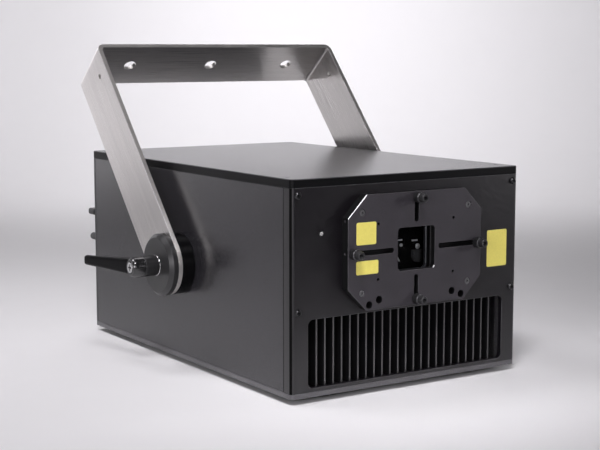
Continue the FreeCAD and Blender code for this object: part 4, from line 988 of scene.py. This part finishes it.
# Clamp levers: a toothed steel insert on the stud, a die-cast handle with a black gloss coat
# that lifts against a spring, and a bright cross-head screw that keeps it on.
insert_teeth = 44
insert_tooth = 0.0006
insert_slant = 30.0
insert_l = 0.0178
insert_edge = 0.0008
insert_bore = 0.012
insert_rows = 6
neck_r = 0.009
hub_r = 0.013
hub_end_r = 0.0105
hub_l = 0.0162
hub_step = 0.004
hub_ease = 0.0005
hub_rim = 0.0008
hub_bore_r = 0.0094
hub_bore = 0.0053
hub_web = 0.0027
hub_well_r = 0.0074
web_hole_r = 0.0029
arm_len = 0.104
arm_rise = 0.02
arm_droop = 0.0022
arm_root_h = 0.02
arm_root_t = 0.011
arm_tip_h = 0.0125
arm_tip_t = 0.008
arm_edge = 0.0036
arm_root = 0.0075
cross_r = 0.0042
cross_depth = 0.0025
cross_rim = 0.0003
screw_edge = 0.0004
# The cross recess of the lever screw is painted near black: painted shade.
recess_painted_shade = finish("recess_painted_shade", colour=(0.01, 0.01, 0.01), edge_wear_sheen=(0.02, 0.02, 0.02),
                     rough=(0.4, 0.5))
insert_black = finish("insert_black", colour=(0.02, 0.02, 0.021), edge_wear_sheen=(0.08, 0.08, 0.08),
                      rough=(0.3, 0.42), metallic=0.3, grain=1600)
lever_gloss = finish("lever_gloss", colour=(0.01, 0.01, 0.0105), edge_wear_sheen=(0.04, 0.04, 0.041),
                     rough=(0.2, 0.26), grain=500, level=1.0)
# The arm is painted darker with almost no sheen as painted shade; the hub keeps the gloss coat.
lever_arm_painted_shade = finish("lever_arm_painted_shade", colour=(0.005, 0.005, 0.0055), edge_wear_sheen=(0.1, 0.1, 0.1),
                    rough=(0.3, 0.4), grain=500, level=0.12)
for side, outward in (("left", -1), ("right", 1)):
    axis = (outward, 0, 0)
    low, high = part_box("lever_insert_" + side)
    start = Vector((low.x if outward > 0 else high.x, pivot.y, pivot.z))
    length = high.x - low.x
    teeth = [(insert_edge + (insert_l - 2 * insert_edge) * i / insert_rows, hub_r)
             for i in range(insert_rows + 1)]
    bm = bmesh.new()
    turned(bm, [(insert_bore, 0), (insert_bore, bore_r), (0, bore_r), (0, hub_r - insert_edge)] + teeth +
           [(insert_l, hub_r - insert_edge), (insert_l, neck_r), (length, neck_r), (length, 0)],
           start, axis, steps=4 * insert_teeth,
           press=fluted(insert_teeth, insert_tooth, hub_r - insert_edge / 2, twist=insert_slant))
    piece("lever_insert_%s_toothed" % side, bm, [insert_black], "lever_insert_" + side)

    low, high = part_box("lever_handle_" + side)
    hub_at = Vector((low.x if outward > 0 else high.x, pivot.y, pivot.z))
    bm = bmesh.new()
    bmesh.ops.create_cube(bm, size=1, matrix=Matrix.Translation((0, 0.5, 0)))
    long_edges = [e for e in bm.edges if abs(e.verts[0].co.y - e.verts[1].co.y) > 0.5]
    bmesh.ops.subdivide_edges(bm, edges=long_edges, cuts=5, use_grid_fill=True)
    for vert in bm.verts:
        share = vert.co.y
        thick = arm_root_t + (arm_tip_t - arm_root_t) * share
        height = arm_root_h + (arm_tip_h - arm_root_h) * share
        along = arm_root + (arm_len - arm_root) * share
        middle = hub_l / 2 + arm_rise * along / arm_len
        vert.co = hub_at + Vector((outward * (middle + vert.co.x * thick), along,
                                   vert.co.z * height - arm_droop * along / arm_len))
    bmesh.ops.recalc_face_normals(bm, faces=bm.faces)
    soften(bm, arm_edge, 4, edge_wear_sheen=0.0)
    for face in bm.faces:
        face.material_index = 1
    turned(bm, [(hub_bore, web_hole_r), (hub_bore, hub_bore_r), (0, hub_bore_r), (0, hub_r - hub_ease),
                (hub_ease, hub_r), (hub_l - hub_step, hub_r), (hub_l - hub_rim, hub_end_r + hub_ease),
                (hub_l, hub_end_r - hub_ease), (hub_l, hub_well_r), (hub_bore + hub_web, hub_well_r),
                (hub_bore + hub_web, web_hole_r)], hub_at, axis, steps=96, closed=True)
    piece("lever_handle_%s_cast" % side, bm, [lever_gloss, lever_arm_painted_shade], "lever_handle_" + side)
    low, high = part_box("lever_screw_" + side)
    head_x = high.x if outward > 0 else -low.x
    bm = copied("lever_screw_" + side)
    soften(bm, screw_edge)
    for face in bm.faces:
        place = face.calc_center_median()
        in_cross = math.hypot(place.y - pivot.y, place.z - pivot.z) < cross_r
        face.material_index = int(in_cross and cross_depth > head_x - outward * place.x > cross_rim)
    piece("lever_screw_%s_cross" % side, bm, [bright_steel, recess_painted_shade], "lever_screw_" + side)

# Stage: a seamless sheet of pale paper that runs under the projector and bends up behind it. It
# shows from its upper side only, so that the projector can be seen from behind too.
azimuth = math.radians(-33.4)
elevation = math.radians(7.367)
right = Vector((math.cos(azimuth), math.sin(azimuth), 0))
away = Vector((-math.sin(azimuth), math.cos(azimuth), 0))
paper_half = 7.0
paper_front = -6.0
paper_back = 1.7
paper_bend = 0.9
paper_tall = 2.2
paper_tones = (0.79, 0.81)
paper_mottle = (0.2, 0.8)
bm = bmesh.new()
edge_verts = [bm.verts.new(away * paper_front + right * side) for side in (-paper_half, paper_half)]
edge = bm.edges.new(edge_verts)


def drawn(line, by):
    """Draws a line of the paper out along a vector and returns its far edge."""
    made = bmesh.ops.extrude_edge_only(bm, edges=[line])["geom"]
    bmesh.ops.translate(bm, vec=by, verts=[g for g in made if isinstance(g, bmesh.types.BMVert)])
    return next(g for g in made if isinstance(g, bmesh.types.BMEdge))


edge = drawn(edge, away * (paper_back - paper_front))
bend_at = away * paper_back + up * paper_bend
bent = bmesh.ops.spin(bm, geom=list(edge.verts) + [edge], cent=bend_at, axis=right, angle=math.pi / 2,
                      steps=16)
edge = next(g for g in bent["geom_last"] if isinstance(g, bmesh.types.BMEdge))
drawn(edge, up * paper_tall)
bmesh.ops.recalc_face_normals(bm, faces=bm.faces)
if sum(face.normal.z for face in bm.faces) < 0:
    bmesh.ops.reverse_faces(bm, faces=bm.faces)
paper_mesh = bpy.data.meshes.new("paper")
bm.to_mesh(paper_mesh)
bm.free()
paper_mesh.shade_smooth()
paper = bpy.data.objects.new("paper", paper_mesh)
bpy.context.scene.collection.objects.link(paper)
paper_pale, tree, shader = plain_material("paper_pale")
shader.inputs["Roughness"].default_value = 0.9
shader.inputs["Specular IOR Level"].default_value = 0.1
tones = [[tone] * 3 for tone in paper_tones]
mottle = grained(tree).outputs["Mottle"]
tree.links.new(toned(tree, mottle, paper_mottle, tones), shader.inputs["Base Color"])
sheet_side = tree.nodes.new("ShaderNodeNewGeometry")
let_through(tree, shader, sheet_side.outputs["Backfacing"])
paper_mesh.materials.append(paper_pale)
paper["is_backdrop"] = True

# Light: two low soft lamps on the right, one above the camera and a weak one beside it, one over the
# near edge, two over the left and its floor, one low on the left, and five on the paper all round.
scene = bpy.context.scene
scene.view_settings.view_transform = "Standard"
world = bpy.data.worlds.new("surround")
world.use_nodes = True
surround = world.node_tree.nodes["Background"]
surround.inputs["Color"].default_value = (0.9, 0.93, 1.0, 1)
surround.inputs["Strength"].default_value = 0.01
scene.world = world
lamp_tint = (0.985, 0.955, 1.0)
wall_lamp = away * 0.9 + up * 2.4
wall_foot = away * 2.2 + up * 0.5
lamps = (
    ("key_near", (1.1, -0.9, 0.35), (0.1, -0.26, 0.13), 0.3, 0.19, 50),
    ("key_right", (1.5, -0.75, 0.6), (0.15, -0.26, 0.15), 0.4, 0.24, 40),
    ("front_top", (-0.95, -1.2, 2.1), (-0.05, -0.15, 0.05), 0.5, 1.6, 40),
    ("front_floor", (-0.3, -0.8, 2.0), (-0.02, -0.32, 0), 0.3, 0.17, 17),
    ("left_over", (-0.9, 0.7, 2.2), (-0.38, 0.3, 0), 0.9, 3.0, 60),
    ("back_left", (-1.6, 1.2, 2.0), (-1.3, 0.9, 0), 0.8, 2.4, 70),
    ("wall", wall_lamp, away * 2.6 + up * 0.9, 1.2, 20.5, 90),
    ("wall_left", wall_lamp - right * 2, wall_foot - right * 3, 1.2, 45, 90),
    ("low_left", (-1.6, -1.1, 0.5), (-0.2, 0, 0.13), 0.4, 0.64, 40),
    ("fill", (-0.85, -1.7, 0.55), (0, -0.2, 0.15), 0.25, 0.2, 30),
    ("floor_back", away * 1.3 + up * 2.2, away * 1.3, 1.0, 3.0, 80),
    ("floor_front", up * 2.4 - away * 2.3, away * -2.3, 1.2, 6.0, 84),
    ("wall_right", wall_lamp + right * 2, wall_foot + right * 3, 1.2, 14, 90),
)
for name, at, toward, size, power, beam in lamps:
    data = bpy.data.lights.new(name, "AREA")
    data.shape = "SQUARE"
    data.size = size
    data.energy = power
    data.color = lamp_tint
    data.spread = math.radians(beam)
    lamp = bpy.data.objects.new(name, data)
    aim = (Vector(at) - Vector(toward)).to_track_quat("Z", "Y").to_matrix().to_4x4()
    lamp.matrix_world = Matrix.Translation(at) @ aim
    scene.collection.objects.link(lamp)

# Camera: at the photograph's place and angle, level from side to side, with a long lens on a
# full-frame sensor.
camera_at = (-0.9901, -1.5225, 0.4019)
lens_mm = 82.49
sensor_mm = 36
camera_data = bpy.data.cameras.new("camera")
camera_data.sensor_fit = "HORIZONTAL"
camera_data.sensor_width = sensor_mm
camera_data.lens = lens_mm
camera = bpy.data.objects.new("camera", camera_data)
back = math.cos(elevation) * -away + math.sin(elevation) * up
turn = Matrix((right, back.cross(right), back)).transposed().to_4x4()
camera.matrix_world = Matrix.Translation(camera_at) @ turn
scene.collection.objects.link(camera)
scene.camera = camera

low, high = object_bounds()
